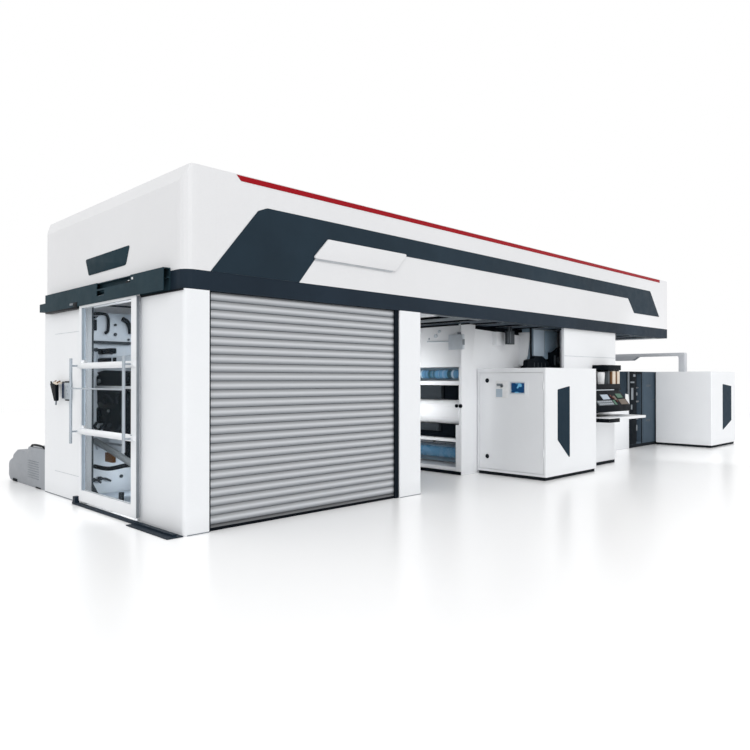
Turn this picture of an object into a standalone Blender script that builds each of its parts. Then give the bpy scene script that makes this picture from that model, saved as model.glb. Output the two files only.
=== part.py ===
"""Flexographic printing press: print unit, web unit, winder, console and cabinets under one long hood.

Design frame while modelling: X along the press from its end wall, Y from the operator side to the
rear, Z up, metres. One empty then moves everything, so that the world origin lies on the floor at
the middle of the whole object's box.
"""

import math

import bmesh
import bpy
from mathutils import Matrix, Vector

# Whole press
PRESS_LENGTH = 13.035
PRESS_DEPTH = 4.264
BAND_BOTTOM = 2.716
BAND_TOP = 2.935
ROOF_TOP = 4.108
SEAM = 0.0003
RUNNING_CLEARANCE = 0.006

# Hood skin, its corners and the lean at the top of the end wall
HOOD_SKIN = 0.06
HOOD_CORNER = 0.15
HOOD_FREE_CORNER = 0.03
HOOD_LEAN_HEIGHT = 0.19
HOOD_LEAN_DEPTH = 0.085
HOOD_PANEL_REACH = 0.40
BAND_THICKNESS = 0.08
BAND_RETURN = 0.30

# Cross members that show under the hood
RAIL_WIDTH = 0.10
BEAM_PITCH = 0.74
BAY_LENGTH = 0.34
BAY_FIRST = 4.55
LADDER_HEIGHT = 0.18

# Trim on the hood: heights above the band, lengths from the press's ends
TRIM_THICKNESS = 0.004
NAME_PLATE_THICKNESS = 0.03
PLATE_START = 2.054
PLATE_LENGTH = 1.524
PLATE_SLANT = 0.25
PLATE_LOW = 0.331
PLATE_HIGH = 0.605
SWEEP_START = 0.328
SWEEP_SLANT = 0.463
SWEEP_LOW = 0.275
SWEEP_HIGH = 0.581
SWEEP_TOP = 0.846
SWEEP_END = 0.50
STRIPE_HEIGHT = 0.063
STRIPE_BELOW_ROOF = 0.010
STRIPE_START = 0.67
STRIPE_END = 0.466

# End wall, corners and pillars
WALL_THICKNESS = 0.10
CORNER_FACE = 0.318
CORNER_RETURN = 0.15
CORNER_ROUNDING = 0.05
DOORWAY_FRONT = 1.10
DOORWAY_REAR = 2.65
PILLAR_START = 3.449
PILLAR_END = 3.908
PILLAR_DEPTH = 0.30
PILLAR_ROUNDING = 0.02

# Roller shutters
SLAT_PITCH = 0.100
SLAT_THICKNESS = 0.010
SLAT_FRONT = 0.050
SLAT_GROOVE = 0.018
SHUTTER_BAR_HEIGHT = 0.07
GUIDE_FRONT = 0.025
GUIDE_BACK = 0.150
GUIDE_WIDTH_CORNER = 0.030
GUIDE_WIDTH_PILLAR = 0.085
GUIDE_SLOT_DEPTH = 0.018
GUIDE_SLOT_MARGIN = 0.006
LINTEL_HEIGHT = 0.12
LINTEL_THICKNESS = 0.05

# Sliding door and its track
LEAF_FACE = -0.070
LEAF_THICKNESS = 0.045
LEAF_FRONT = 1.00
LEAF_REAR = 2.72
LEAF_BOTTOM = 0.06
LEAF_TUCK = 0.034
STILE_FRONT = 0.135
STILE_REAR = 0.067
LEAF_SILL = 0.15
LEAF_HEAD = 0.06
CROSSBAR_HEIGHT = 0.08
CROSSBAR_LOW = 1.01
CROSSBAR_HIGH = 1.90
CROSSBAR_ROUND = 0.037
REBATE_DEPTH = 0.014
REBATE_LAP = 0.015
GLASS_THICKNESS = 0.008
TRACK_FRONT = -0.090
TRACK_SKIN = 0.010
TRACK_BACK = -0.012
TRACK_START = 0.3003
TRACK_END = 3.96
LEDGE_DROP = 0.065
LEDGE_REACH = 0.024
LEDGE_THICKNESS = 0.015
WHEEL_RADIUS = 0.030
WHEEL_ROOM = 0.030
WHEEL_LAP = 0.004
HANGER_WIDTH = 0.12
HANGER_THICKNESS = 0.008
HANGER_INSET = 0.26
TRACK_SLOT_START = 1.12
TRACK_SLOT_LENGTH = 0.98
TRACK_SLOT_SILL = 0.015
TRACK_WINDOW_LENGTH = 0.24
TRACK_WINDOW_HEIGHT = 0.065
TRACK_STUB_LENGTH = 0.25
TRACK_STUB_HEIGHT = 0.12
DOOR_TRAVEL = 0.90
FLOOR_RAIL_FACE = -0.10
FLOOR_RAIL_WIDTH = 0.05
FLOOR_RAIL_HEIGHT = 0.03
FLOOR_RAIL_GAP = 0.04
RAIL_STOP_LENGTH = 0.08
RAIL_STOP_HEIGHT = 0.11
RAIL_STOP_LAP = 0.005
THRESHOLD_REACH = 0.19
THRESHOLD_HEIGHT = 0.010
HANDLE_RADIUS = 0.019
HANDLE_STANDOFF = 0.12
HANDLE_BOTTOM = 0.85
HANDLE_TOP = 2.00
HANDLE_FRONT_INSET = 0.07
HANDLE_REAR_INSET = 0.03
STANDOFF_RADIUS = 0.0125
GRIP_RADIUS = 0.010
GRIP_HEIGHT = 1.595

# Fittings on the end wall beside the door
BUTTON_BOX_GAP = 0.41
BUTTON_BOX_WIDTH = 0.20
BUTTON_BOX_LOW = 1.43
BUTTON_BOX_HEIGHT = 0.24
BUTTON_BOX_DEPTH = 0.05
HOLDER_GAP = 0.04
HOLDER_WIDTH = 0.34
HOLDER_LOW = 1.33
HOLDER_HEIGHT = 0.36
HOLDER_DEPTH = 0.10

# Print unit inside
FRAME_THICKNESS = 0.08
FRAME_INSET = 0.864
FRAME_START = 0.38
FRAME_END = 3.35
DRUM_RADIUS = 0.75
DRUM_JOURNAL = 0.12
DRUM_CENTRE_X = 1.93
DRUM_CENTRE_Z = 1.42
DRUM_END_GAP = 0.086
PLATE_ROLLER = 0.11
INK_ROLLER = 0.09
NIP = 0.002
DECK_OFFSETS = (0.24, 0.64)
DECK_OUTER = 1.48
DECK_PLATE_THICKNESS = 0.035
DECK_PLATE_HALF = 0.12
DECK_TRAY = 0.16

# Web unit
WEB_START = 5.90
WEB_FOOT_END = 7.80
WEB_FRONT = 0.79
WEB_FRAME_THICKNESS = 0.06
WEB_POST_WIDTH = 0.41
WEB_TOP = 2.64
WEB_TOP_REAR = 2.57
WEB_REAR_REACH = 0.37
WEB_COVER_SETBACK = 0.02
WEB_SLOT_DEPTH = 0.55
WEB_SLOTS = ((0.126, 0.585), (0.640, 0.900), (1.340, 1.610), (1.685, 1.940))
WEB_BULGE = 0.04
WEB_BULGE_ROUNDING = 0.19
WEB_SKIRT = 0.06
WEB_STILE_WIDTH = 0.071
WEB_STILE_TOP = 0.895
JUNCTION_BOX_INSET = 0.95
JUNCTION_BOX_WIDTH = 0.26
JUNCTION_BOX_HEIGHT = 0.25
JUNCTION_BOX_DEPTH = 0.09
UPPER_ROLLER_INSET = 0.24
UPPER_ROLLER_RADIUS = 0.085
LOWER_ROLLER_INSET = 0.26
LOWER_ROLLER_RADIUS = 0.100
ROLLER_JOURNAL = 0.030
JOURNAL_CLEARANCE = 0.0005
JOURNAL_DEPTH = 0.040

# Drying tunnel over the web unit, with its shaft down to the low housing
TUNNEL_INSET = 0.05
TUNNEL_CLEARANCE = 0.03
SHAFT_LENGTH = 1.48
SHAFT_GAP = 0.42

# Cabinets
CABINET_WIDTH = 1.776
CABINET_DEPTH = 1.430
CABINET_HEIGHT = 1.912
CABINET_MIDDLE_X = 6.343
CABINET_FRONT = -0.652
CABINET_ROUNDING = 0.02
RIGHT_CABINET_X = 14.111
RIGHT_CABINET_WIDTH = 1.744
RIGHT_CABINET_DEPTH = 1.400
PLINTH_HEIGHT = 0.06
PLINTH_SETBACK = 0.03
DOOR_RECESS = 0.030
DOOR_PANEL = 0.024
DOOR_FRONT_MARGIN = 0.052
DOOR_REAR_MARGIN = 0.058
DOOR_BOTTOM = 0.11
DOOR_TOP = 1.83
KNUCKLE_RADIUS = 0.010
KNUCKLE_LENGTH = 0.06
HINGE_HEIGHTS = (0.40, 1.55)
LOCK_RADIUS = 0.030
LOCK_PROUD = 0.011
LOCK_HEIGHTS = (0.33, 1.695)
LOCK_INSET = 0.18
KNUCKLE_OFFSET = 0.004
HINGE_TAB = 0.015
SCREEN_INSET = 0.348
SCREEN_WIDTH = 0.407
SCREEN_LOW = 1.41
SCREEN_HEIGHT = 0.29
SCREEN_PROUD = 0.006
INLAY_MIDDLE = ((0.377, 0.671), (0.377, 1.541), (0.785, 1.598), (0.785, 0.327))
INLAY_RIGHT = ((0.789, 0.411), (0.789, 1.594), (1.439, 1.538), (1.439, 0.640))

# Console and the column that carries it
COLUMN_GAP = 0.085
COLUMN_START = CABINET_MIDDLE_X + CABINET_WIDTH + COLUMN_GAP
COLUMN_WIDTH = 2.18
COLUMN_FRONT = 0.06
COLUMN_DEPTH = 0.34
COLUMN_PANEL = 0.065
COLUMN_CORE_INSET = 0.25
CONSOLE_START = COLUMN_START + 0.246
CONSOLE_LENGTH = 1.53
CONSOLE_END = CONSOLE_START + CONSOLE_LENGTH
CANOPY_REACH = 0.31
CANOPY_TOP = 1.975
CANOPY_THICKNESS = 0.065
BOOTH_LINING = 0.03
SHELF_HEIGHT = 1.500
SHELF_THICKNESS = 0.020
SHELF_SETBACK = 0.05
PANEL_INSET = 0.02
PANEL_END_INSET = 0.10
PANEL_GAP = 0.07
PANEL_REACH = 0.55
PANEL_LIP = 0.14
DESK_TOP = 0.980
DESK_THICKNESS = 0.050
DESK_REACH = 0.81
DESK_OVERHANG = 0.08
BASE_REACH = 0.31
BASE_INSET = 0.05
BASE_LENGTH = 1.18

# Blowers on the middle cabinet, motor box behind the column and the duct up into the hood.
# Their heights are shares of the space between the cabinet's top and the band.
BLOWER_REAR = 0.74
SCROLL_FRONT = 0.45
SCROLL_START = 0.70
SCROLL_REACH = 0.24
SCROLL_LOW = 0.21
SCROLL_HIGH = 0.33
DUCT_SLOPE_LOW = 0.415
DUCT_SLOPE_HIGH = 0.58
MOTOR_BOX_OVERHANG = 0.15
DUCT_SIDE_START = 0.35
DUCT_SIDE_WIDTH = 0.94
DUCT_NECK = 0.26
SUPPLY_DUCT_FRONT = 0.50
SUPPLY_DUCT_ROUNDING = 0.12

# Right-hand end
WINDER_START = 12.63
WINDER_END = 15.80
WINDER_REAR = 3.40
WINDER_HEIGHT = CABINET_HEIGHT
WINDER_RECESS_INSET = 0.40
WINDER_RECESS_WIDTH = 0.29
WINDER_RECESS_DEPTH = 0.12
WINDER_RECESS_LOW = 0.12
WINDER_RECESS_TOP = 0.06
HOUSING_REAR = 1.60
HOUSING_HEIGHT = 1.00
DUCT_X = 14.83
DUCT_WIDTH = 0.17
DUCT_FRONT = 0.27
DUCT_POST = 0.16
DUCT_TOP = CABINET_HEIGHT + 0.518
DUCT_BEAM = 0.088
DUCT_DROP = 0.10
DUCT_REAR = 3.10

# Supply unit behind the print unit
SUPPLY_START = 0.02
SUPPLY_LENGTH = 1.60
SUPPLY_DEPTH = 1.745
SUPPLY_HEIGHT = 0.63
SUPPLY_DECK = 0.545

# Heights of the door and its track follow the band
LEAF_TOP = BAND_BOTTOM + LEAF_TUCK
LEDGE_TOP = BAND_TOP - LEDGE_DROP
TRACK_TOP = LEDGE_TOP + 2 * WHEEL_RADIUS + WHEEL_ROOM + TRACK_SKIN

# The whole object's box in the design frame
BOX_LEFT = LEAF_FACE - HANDLE_STANDOFF - HANDLE_RADIUS
BOX_RIGHT = RIGHT_CABINET_X + RIGHT_CABINET_WIDTH
BOX_FRONT = COLUMN_FRONT - DESK_REACH
BOX_REAR = PRESS_DEPTH + SEAM + SUPPLY_DEPTH


for old in list(bpy.data.objects):
    bpy.data.objects.remove(old, do_unlink=True)

scene = bpy.context.scene
parts = bpy.data.collections.new("printing_press")
cutters = bpy.data.collections.new("cutters")
scene.collection.children.link(parts)
scene.collection.children.link(cutters)


# Materials

def paint(name, color, roughness=0.4, metallic=0.0, alpha=1.0):
    material = bpy.data.materials.new(name)
    material.use_nodes = True
    shader = material.node_tree.nodes["Principled BSDF"]
    shader.inputs["Base Color"].default_value = (*color, 1.0)
    shader.inputs["Roughness"].default_value = roughness
    shader.inputs["Metallic"].default_value = metallic
    shader.inputs["Alpha"].default_value = alpha
    material.diffuse_color = (*color, alpha)
    return material


WHITE = paint("white_paint", (0.77, 0.78, 0.80), 0.35)
SLATE = paint("slate_paint", (0.030, 0.042, 0.060), 0.45)
RED = paint("red_trim", (0.26, 0.005, 0.009), 0.4)
SHUTTER_GREY = paint("shutter_grey", (0.35, 0.37, 0.39), 0.35, 0.6)
BLACK = paint("black_parts", (0.012, 0.014, 0.017), 0.4)
FRAME_BLUE = paint("frame_blue_grey", (0.42, 0.49, 0.55), 0.4)
STEEL = paint("roller_steel", (0.55, 0.57, 0.60), 0.25, 1.0)
HANDLE_GREY = paint("handle_grey", (0.27, 0.32, 0.36), 0.3, 0.7)
GLASS = paint("door_glass", (0.80, 0.86, 0.88), 0.05, 0.0, 0.25)
DUCT_GREY = paint("duct_grey", (0.58, 0.60, 0.62), 0.4)
UNIT_GREY = paint("supply_grey", (0.33, 0.34, 0.36), 0.5)
FILM_BLUE = paint("film_blue", (0.10, 0.28, 0.48), 0.3)


# Building blocks

press_frame = bpy.data.objects.new("press_frame", None)
press_frame.location = (-(BOX_LEFT + BOX_RIGHT) / 2, -(BOX_FRONT + BOX_REAR) / 2, 0)
parts.objects.link(press_frame)


def place(obj, material=None, carrier=None):
    """Put an object into the part, or among the cutters when it has no material."""
    carrier = carrier or press_frame
    for owner in list(obj.users_collection):
        owner.objects.unlink(obj)
    if material is None:
        cutters.objects.link(obj)
        obj.hide_render = True
        obj.display_type = "WIRE"
    else:
        parts.objects.link(obj)
        obj.data.materials.clear()
        obj.data.materials.append(material)
    obj.parent = carrier
    if carrier is not press_frame:
        obj.location = Vector(obj.location) - Vector(carrier.location)
    return obj


def mesh_object(name, bm, location=(0, 0, 0)):
    mesh = bpy.data.meshes.new(name)
    bm.to_mesh(mesh)
    bm.free()
    obj = bpy.data.objects.new(name, mesh)
    obj.location = location
    parts.objects.link(obj)
    return obj


def block(name, low, high, material=None, carrier=None):
    """A box between two corners, its origin at its centre."""
    low, high = Vector(low), Vector(high)
    bm = bmesh.new()
    bmesh.ops.create_cube(bm, size=1.0)
    bmesh.ops.scale(bm, vec=high - low, verts=bm.verts)
    obj = mesh_object(name, bm, (low + high) / 2)
    return place(obj, material, carrier)


AXIS_TURNS = {"X": Matrix.Rotation(math.pi / 2, 4, "Y"), "Y": Matrix.Rotation(-math.pi / 2, 4, "X"),
              "Z": Matrix.Identity(4)}


def rod(name, axis, start, length, radius, material=None, carrier=None, sides=24, outside=False):
    """A round bar from a start point along an axis; outside makes its flats, not its corners, the radius."""
    if outside:
        radius = radius / math.cos(math.pi / sides)
    bm = bmesh.new()
    bmesh.ops.create_cone(bm, cap_ends=True, segments=sides, radius1=radius, radius2=radius, depth=length)
    bmesh.ops.transform(bm, matrix=AXIS_TURNS[axis], verts=bm.verts)
    middle = Vector(start)
    middle["XYZ".index(axis)] += length / 2
    return place(mesh_object(name, bm, middle), material, carrier)


def rounded(corners, steps=5):
    """Outline points from corners (u, v) or (u, v, radius), each radius turned into an arc."""
    outline = []
    count = len(corners)
    for index, corner in enumerate(corners):
        here = Vector(corner[:2])
        radius = corner[2] if len(corner) > 2 else 0.0
        if radius <= 0.0:
            outline.append(here)
            continue
        before = (Vector(corners[index - 1][:2]) - here).normalized()
        after = (Vector(corners[(index + 1) % count][:2]) - here).normalized()
        half = before.angle(after) / 2
        reach = radius / math.tan(half)
        centre = here + (before + after).normalized() * (radius / math.sin(half))
        first = here + before * reach - centre
        last = here + after * reach - centre
        turn = math.atan2(first.x * last.y - first.y * last.x, first.dot(last))
        for step in range(steps + 1):
            angle = turn * step / steps
            cosine, sine = math.cos(angle), math.sin(angle)
            outline.append(centre + Vector((first.x * cosine - first.y * sine,
                                            first.x * sine + first.y * cosine)))
    return outline


PLANES = {
    "XY": Matrix.Identity(4),
    "XZ": Matrix(((1, 0, 0, 0), (0, 0, -1, 0), (0, 1, 0, 0), (0, 0, 0, 1))),
    "YZ": Matrix(((0, 0, 1, 0), (1, 0, 0, 0), (0, 1, 0, 0), (0, 0, 0, 1))),
}
NORMAL = {"XY": "Z", "XZ": "Y", "YZ": "X"}


def extrusion(name, plane, outline, low, high, material=None, carrier=None, holes=()):
    """A flat outline in a plane, run from low to high along the plane's normal."""
    curve = bpy.data.curves.new(name, "CURVE")
    curve.dimensions = "2D"
    curve.fill_mode = "BOTH"
    curve.extrude = (high - low) / 2
    for ring in (outline, *holes):
        spline = curve.splines.new("POLY")
        spline.points.add(len(ring) - 1)
        for point, spot in zip(spline.points, ring):
            point.co = (spot[0], spot[1], 0, 1)
        spline.use_cyclic_u = True
    sketch = bpy.data.objects.new(name + "_sketch", curve)
    cutters.objects.link(sketch)
    bpy.context.view_layer.update()
    mesh = bpy.data.meshes.new_from_object(sketch.evaluated_get(bpy.context.evaluated_depsgraph_get()))
    bpy.data.objects.remove(sketch, do_unlink=True)
    bm = bmesh.new()
    bm.from_mesh(mesh)
    bmesh.ops.remove_doubles(bm, verts=bm.verts, dist=0.00005)
    bmesh.ops.transform(bm, matrix=PLANES[plane], verts=bm.verts)
    bmesh.ops.recalc_face_normals(bm, faces=bm.faces)
    bm.to_mesh(mesh)
    bm.free()
    mesh.name = name
    obj = bpy.data.objects.new(name, mesh)
    parts.objects.link(obj)
    obj.location["XYZ".index(NORMAL[plane])] = (low + high) / 2
    return place(obj, material, carrier)


def turned(name, axis, centre, profile, material=None, carrier=None, sides=48):
    """A turned shape: (radius, height) points from top to bottom, screwed about an axis."""
    mesh = bpy.data.meshes.new(name)
    edges = [(index, index + 1) for index in range(len(profile) - 1)]
    mesh.from_pydata([(radius, 0, height) for radius, height in profile], edges, [])
    obj = bpy.data.objects.new(name, mesh)
    parts.objects.link(obj)
    screw = obj.modifiers.new("turn", "SCREW")
    screw.steps = sides
    screw.render_steps = sides
    screw.use_merge_vertices = True
    screw.merge_threshold = 0.0001
    obj.location = centre
    if axis == "Y":
        obj.rotation_euler = (-math.pi / 2, 0, 0)
    return place(obj, material, carrier)


def combine(obj, other, operation):
    step = obj.modifiers.new(operation.lower(), "BOOLEAN")
    step.operation = operation
    step.solver = "EXACT"
    step.object = other
    return obj


def cut(obj, *others):
    for other in others:
        combine(obj, other, "DIFFERENCE")
    return obj


def fuse(obj, *others):
    for other in others:
        combine(obj, other, "UNION")
    return obj


def soften(obj, width, segments=2, angle=math.radians(50)):
    bevel = obj.modifiers.new("edges", "BEVEL")
    bevel.width = width
    bevel.segments = segments
    bevel.limit_method = "ANGLE"
    bevel.angle_limit = angle
    return obj


def mirrored(outline):
    """The same outline seen from the rear side: Y is taken from the other long face."""
    return [(spot[0], PRESS_DEPTH - spot[1], *spot[2:]) for spot in reversed(outline)]


# Hood

def hood_solid(name, inset, bottom):
    """The hood's outer form, or the same form drawn in by the skin."""
    left, right = inset, PRESS_LENGTH - inset
    front, rear = inset, PRESS_DEPTH - inset
    free = max(HOOD_FREE_CORNER - inset, 0.0)
    near = max(HOOD_CORNER - inset, 0.0)
    plan = rounded([(left, front, near), (right, front, free), (right, rear, free), (left, rear, near)])
    solid = extrusion(name, "XY", plan, bottom, ROOF_TOP - inset)
    lean = Vector((HOOD_LEAN_DEPTH, HOOD_LEAN_HEIGHT))
    inward = Vector((HOOD_LEAN_HEIGHT, -HOOD_LEAN_DEPTH)).normalized() * inset
    foot = Vector((0, ROOF_TOP - HOOD_LEAN_HEIGHT)) + inward - lean
    head = foot + 3 * lean
    wedge = extrusion(name + "_lean", "XZ", [foot, head, Vector((foot.x - lean.x, head.y))],
                      -HOOD_CORNER, PRESS_DEPTH + HOOD_CORNER)
    return cut(solid, wedge)


def hood():
    """Five panels, cut from one shell: two ends, two long sides and the roof between them."""
    outer = hood_solid("hood_outer", 0.0, BAND_TOP + SEAM)
    inner = hood_solid("hood_inner", HOOD_SKIN, BAND_TOP - HOOD_SKIN)
    reach, half = HOOD_PANEL_REACH, SEAM / 2
    ends = (reach - half, reach + half, PRESS_LENGTH - reach - half, PRESS_LENGTH - reach + half)
    sides = (reach - half, reach + half, PRESS_DEPTH - reach - half, PRESS_DEPTH - reach + half)
    low, high = BAND_BOTTOM, ROOF_TOP + reach
    spans = {
        "hood_left_end": ((-1, ends[0]), (-1, PRESS_DEPTH + 1)),
        "hood_right_end": ((ends[3], PRESS_LENGTH + 1), (-1, PRESS_DEPTH + 1)),
        "hood_front_panel": ((ends[1], ends[2]), (-1, sides[0])),
        "hood_rear_panel": ((ends[1], ends[2]), (sides[3], PRESS_DEPTH + 1)),
        "hood_roof": ((ends[1], ends[2]), (sides[1], sides[2])),
    }
    for name, (along, across) in spans.items():
        panel = block(name, (along[0], across[0], low), (along[1], across[1], high), WHITE)
        combine(panel, outer, "INTERSECT")
        cut(panel, inner)


def bands():
    """The dark beam round the foot of the hood; the door track closes it at the end wall."""
    low, high = BAND_BOTTOM + SEAM, BAND_TOP
    inner = BAND_THICKNESS
    front = [(0, 0, HOOD_CORNER), (PRESS_LENGTH, 0, HOOD_FREE_CORNER), (PRESS_LENGTH, BAND_RETURN),
             (PRESS_LENGTH - inner, BAND_RETURN), (PRESS_LENGTH - inner, inner), (inner, inner),
             (inner, BAND_RETURN), (0, BAND_RETURN)]
    extrusion("band_front", "XY", rounded(front), low, high, SLATE)
    extrusion("band_rear", "XY", rounded(mirrored(front)), low, high, SLATE)
    block("band_right", (PRESS_LENGTH - inner, BAND_RETURN + SEAM, low),
          (PRESS_LENGTH, PRESS_DEPTH - BAND_RETURN - SEAM, high), SLATE)


def bridge_ladder():
    """Rails and crossbeams under the hood, one flat frame with a row of openings."""
    edge = BAND_THICKNESS + SEAM
    left, right = edge, PRESS_LENGTH - edge
    front, rear = edge, PRESS_DEPTH - edge
    outline = [(left, front), (right, front), (right, rear), (left, rear)]
    beam = BEAM_PITCH - BAY_LENGTH
    print_beam = DRUM_CENTRE_X - beam / 2
    bays = [(left + RAIL_WIDTH, print_beam), (print_beam + beam, BAY_FIRST - beam)]
    for index in range(int((right - RAIL_WIDTH - BAY_FIRST) / BEAM_PITCH)):
        start = BAY_FIRST + index * BEAM_PITCH
        bays.append((start, start + BAY_LENGTH))
    inner_front, inner_rear = front + RAIL_WIDTH, rear - RAIL_WIDTH
    holes = [[(start, inner_front), (end, inner_front), (end, inner_rear), (start, inner_rear)]
             for start, end in bays]
    extrusion("bridge_ladder", "XY", outline, BAND_BOTTOM + SEAM, BAND_BOTTOM + LADDER_HEIGHT, WHITE,
              holes=holes)


def hood_trim():
    """Dark sweep along each long side, the bare plate and the stripe under the roof edge."""
    below, low = BAND_TOP + SEAM, BAND_TOP + SWEEP_LOW
    high, top = BAND_TOP + SWEEP_HIGH, BAND_TOP + SWEEP_TOP
    end = PRESS_LENGTH - SWEEP_END
    sweep = [(SWEEP_START, below), (SWEEP_START + 0.642, top - 0.055, 0.05), (SWEEP_START + 0.773, top, 0.10),
             (end - 0.507, top, 0.05), (end, low), (end - 1.363, low, 0.03), (end - 1.665, high, 0.05),
             (PLATE_START, high, 0.05), (PLATE_START - SWEEP_SLANT, below)]
    plate_low, plate_high = BAND_TOP + PLATE_LOW, BAND_TOP + PLATE_HIGH
    plate_end = PLATE_START + PLATE_LENGTH
    plate = [(PLATE_START - PLATE_SLANT, plate_low, 0.02), (plate_end - PLATE_SLANT, plate_low, 0.02),
             (plate_end, plate_high, 0.02), (PLATE_START, plate_high, 0.02)]
    plate_back = TRIM_THICKNESS + 2 * SEAM
    extrusion("graphic_front", "XZ", rounded(sweep), -TRIM_THICKNESS - SEAM, -SEAM, SLATE)
    extrusion("graphic_rear", "XZ", rounded(sweep), PRESS_DEPTH + SEAM, PRESS_DEPTH + SEAM + TRIM_THICKNESS,
              SLATE)
    extrusion("name_plate", "XZ", rounded(plate), -NAME_PLATE_THICKNESS - plate_back, -plate_back, WHITE)
    stripe_top = ROOF_TOP - STRIPE_BELOW_ROOF
    stripe_low = stripe_top - STRIPE_HEIGHT
    stripe_end = PRESS_LENGTH - STRIPE_END
    stripe = [(STRIPE_START + STRIPE_HEIGHT, stripe_low), (stripe_end, stripe_low), (stripe_end, stripe_top),
              (STRIPE_START, stripe_top)]
    extrusion("stripe_front", "XZ", stripe, -TRIM_THICKNESS - SEAM, -SEAM, RED)


# Corners, pillars and shutters

def walls():
    """End wall in two corner pieces with the doorway between them, and the middle pillars."""
    top = BAND_BOTTOM
    front = [(0, 0, CORNER_ROUNDING), (CORNER_FACE, 0), (CORNER_FACE, CORNER_RETURN),
             (WALL_THICKNESS, CORNER_RETURN), (WALL_THICKNESS, DOORWAY_FRONT), (0, DOORWAY_FRONT)]
    rear = [(0, DOORWAY_REAR), (WALL_THICKNESS, DOORWAY_REAR), (WALL_THICKNESS, PRESS_DEPTH - CORNER_RETURN),
            (CORNER_FACE, PRESS_DEPTH - CORNER_RETURN), (CORNER_FACE, PRESS_DEPTH),
            (0, PRESS_DEPTH, CORNER_ROUNDING)]
    extrusion("corner_front", "XY", rounded(front), 0, top, WHITE)
    extrusion("corner_rear", "XY", rounded(rear), 0, top, WHITE)
    start = PILLAR_START + SEAM
    pillar = [(start, 0, PILLAR_ROUNDING), (PILLAR_END, 0, PILLAR_ROUNDING),
              (PILLAR_END, PILLAR_DEPTH, PILLAR_ROUNDING), (start, PILLAR_DEPTH)]
    extrusion("pillar_front", "XY", rounded(pillar), 0, top, WHITE)
    extrusion("pillar_rear", "XY", rounded(mirrored(pillar)), 0, top, WHITE)


def slat_profile():
    """Front line of the curtain from its bar up: one bulge for each slat, a groove between two."""
    bulge = ((0.00, 0.0), (0.06, 0.65), (0.25, 0.92), (0.50, 1.0), (0.75, 0.92), (0.94, 0.65))
    line = []
    count = round((BAND_BOTTOM - SHUTTER_BAR_HEIGHT) / SLAT_PITCH)
    pitch = (BAND_BOTTOM - SHUTTER_BAR_HEIGHT) / count
    for slat in range(count):
        for along, height in bulge:
            line.append((SLAT_FRONT + SLAT_GROOVE * (1 - height), SHUTTER_BAR_HEIGHT + (slat + along) * pitch))
    line.append((SLAT_FRONT + SLAT_GROOVE, BAND_BOTTOM))
    return line


def shutters():
    """Corrugated curtain between two channels, on the operator side and again at the rear."""
    left = CORNER_FACE + SEAM
    right = PILLAR_START
    slot_left = left + GUIDE_WIDTH_CORNER - GUIDE_SLOT_DEPTH
    slot_right = right - GUIDE_WIDTH_PILLAR + GUIDE_SLOT_DEPTH
    line = slat_profile()
    bar_front, bar_back = SLAT_FRONT, SLAT_FRONT + SLAT_GROOVE + SLAT_THICKNESS
    outline = [(bar_front, 0), (bar_front, SHUTTER_BAR_HEIGHT - SLAT_THICKNESS), *line]
    outline += [(depth + SLAT_THICKNESS, height) for depth, height in reversed(line[1:])]
    outline += [(bar_back, SHUTTER_BAR_HEIGHT), (bar_back, 0)]
    slot_front, slot_back = bar_front - GUIDE_SLOT_MARGIN, bar_back + GUIDE_SLOT_MARGIN
    lintel_front = GUIDE_BACK - LINTEL_THICKNESS
    channels = [(left, GUIDE_FRONT), (left + GUIDE_WIDTH_CORNER, GUIDE_FRONT),
                (left + GUIDE_WIDTH_CORNER, slot_front), (slot_left, slot_front), (slot_left, slot_back),
                (left + GUIDE_WIDTH_CORNER, slot_back), (left + GUIDE_WIDTH_CORNER, lintel_front),
                (left + GUIDE_WIDTH_CORNER, GUIDE_BACK), (left, GUIDE_BACK)]
    facing = [(right, GUIDE_FRONT), (right, GUIDE_BACK), (right - GUIDE_WIDTH_PILLAR, GUIDE_BACK),
              (right - GUIDE_WIDTH_PILLAR, slot_back), (slot_right, slot_back), (slot_right, slot_front),
              (right - GUIDE_WIDTH_PILLAR, slot_front), (right - GUIDE_WIDTH_PILLAR, GUIDE_FRONT)]
    for side in ("front", "rear"):
        turn = (lambda ring: ring) if side == "front" else mirrored
        flip = (lambda depth: depth) if side == "front" else (lambda depth: PRESS_DEPTH - depth)
        curtain = [(flip(depth), height) for depth, height in outline]
        extrusion("shutter_" + side, "YZ", curtain, slot_left + SEAM, slot_right - SEAM, SHUTTER_GREY)
        guide = extrusion("shutter_guide_" + side, "XY", turn(channels), 0, BAND_BOTTOM, SLATE)
        other = extrusion("shutter_channel_" + side, "XY", turn(facing), 0, BAND_BOTTOM)
        depths = sorted((flip(lintel_front), flip(GUIDE_BACK)))
        lintel = block("shutter_lintel_" + side,
                       (left + GUIDE_WIDTH_CORNER / 2, depths[0], BAND_BOTTOM - LINTEL_HEIGHT),
                       (right - GUIDE_WIDTH_PILLAR / 2, depths[1], BAND_BOTTOM))
        fuse(guide, lintel, other)


# Sliding door

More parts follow.
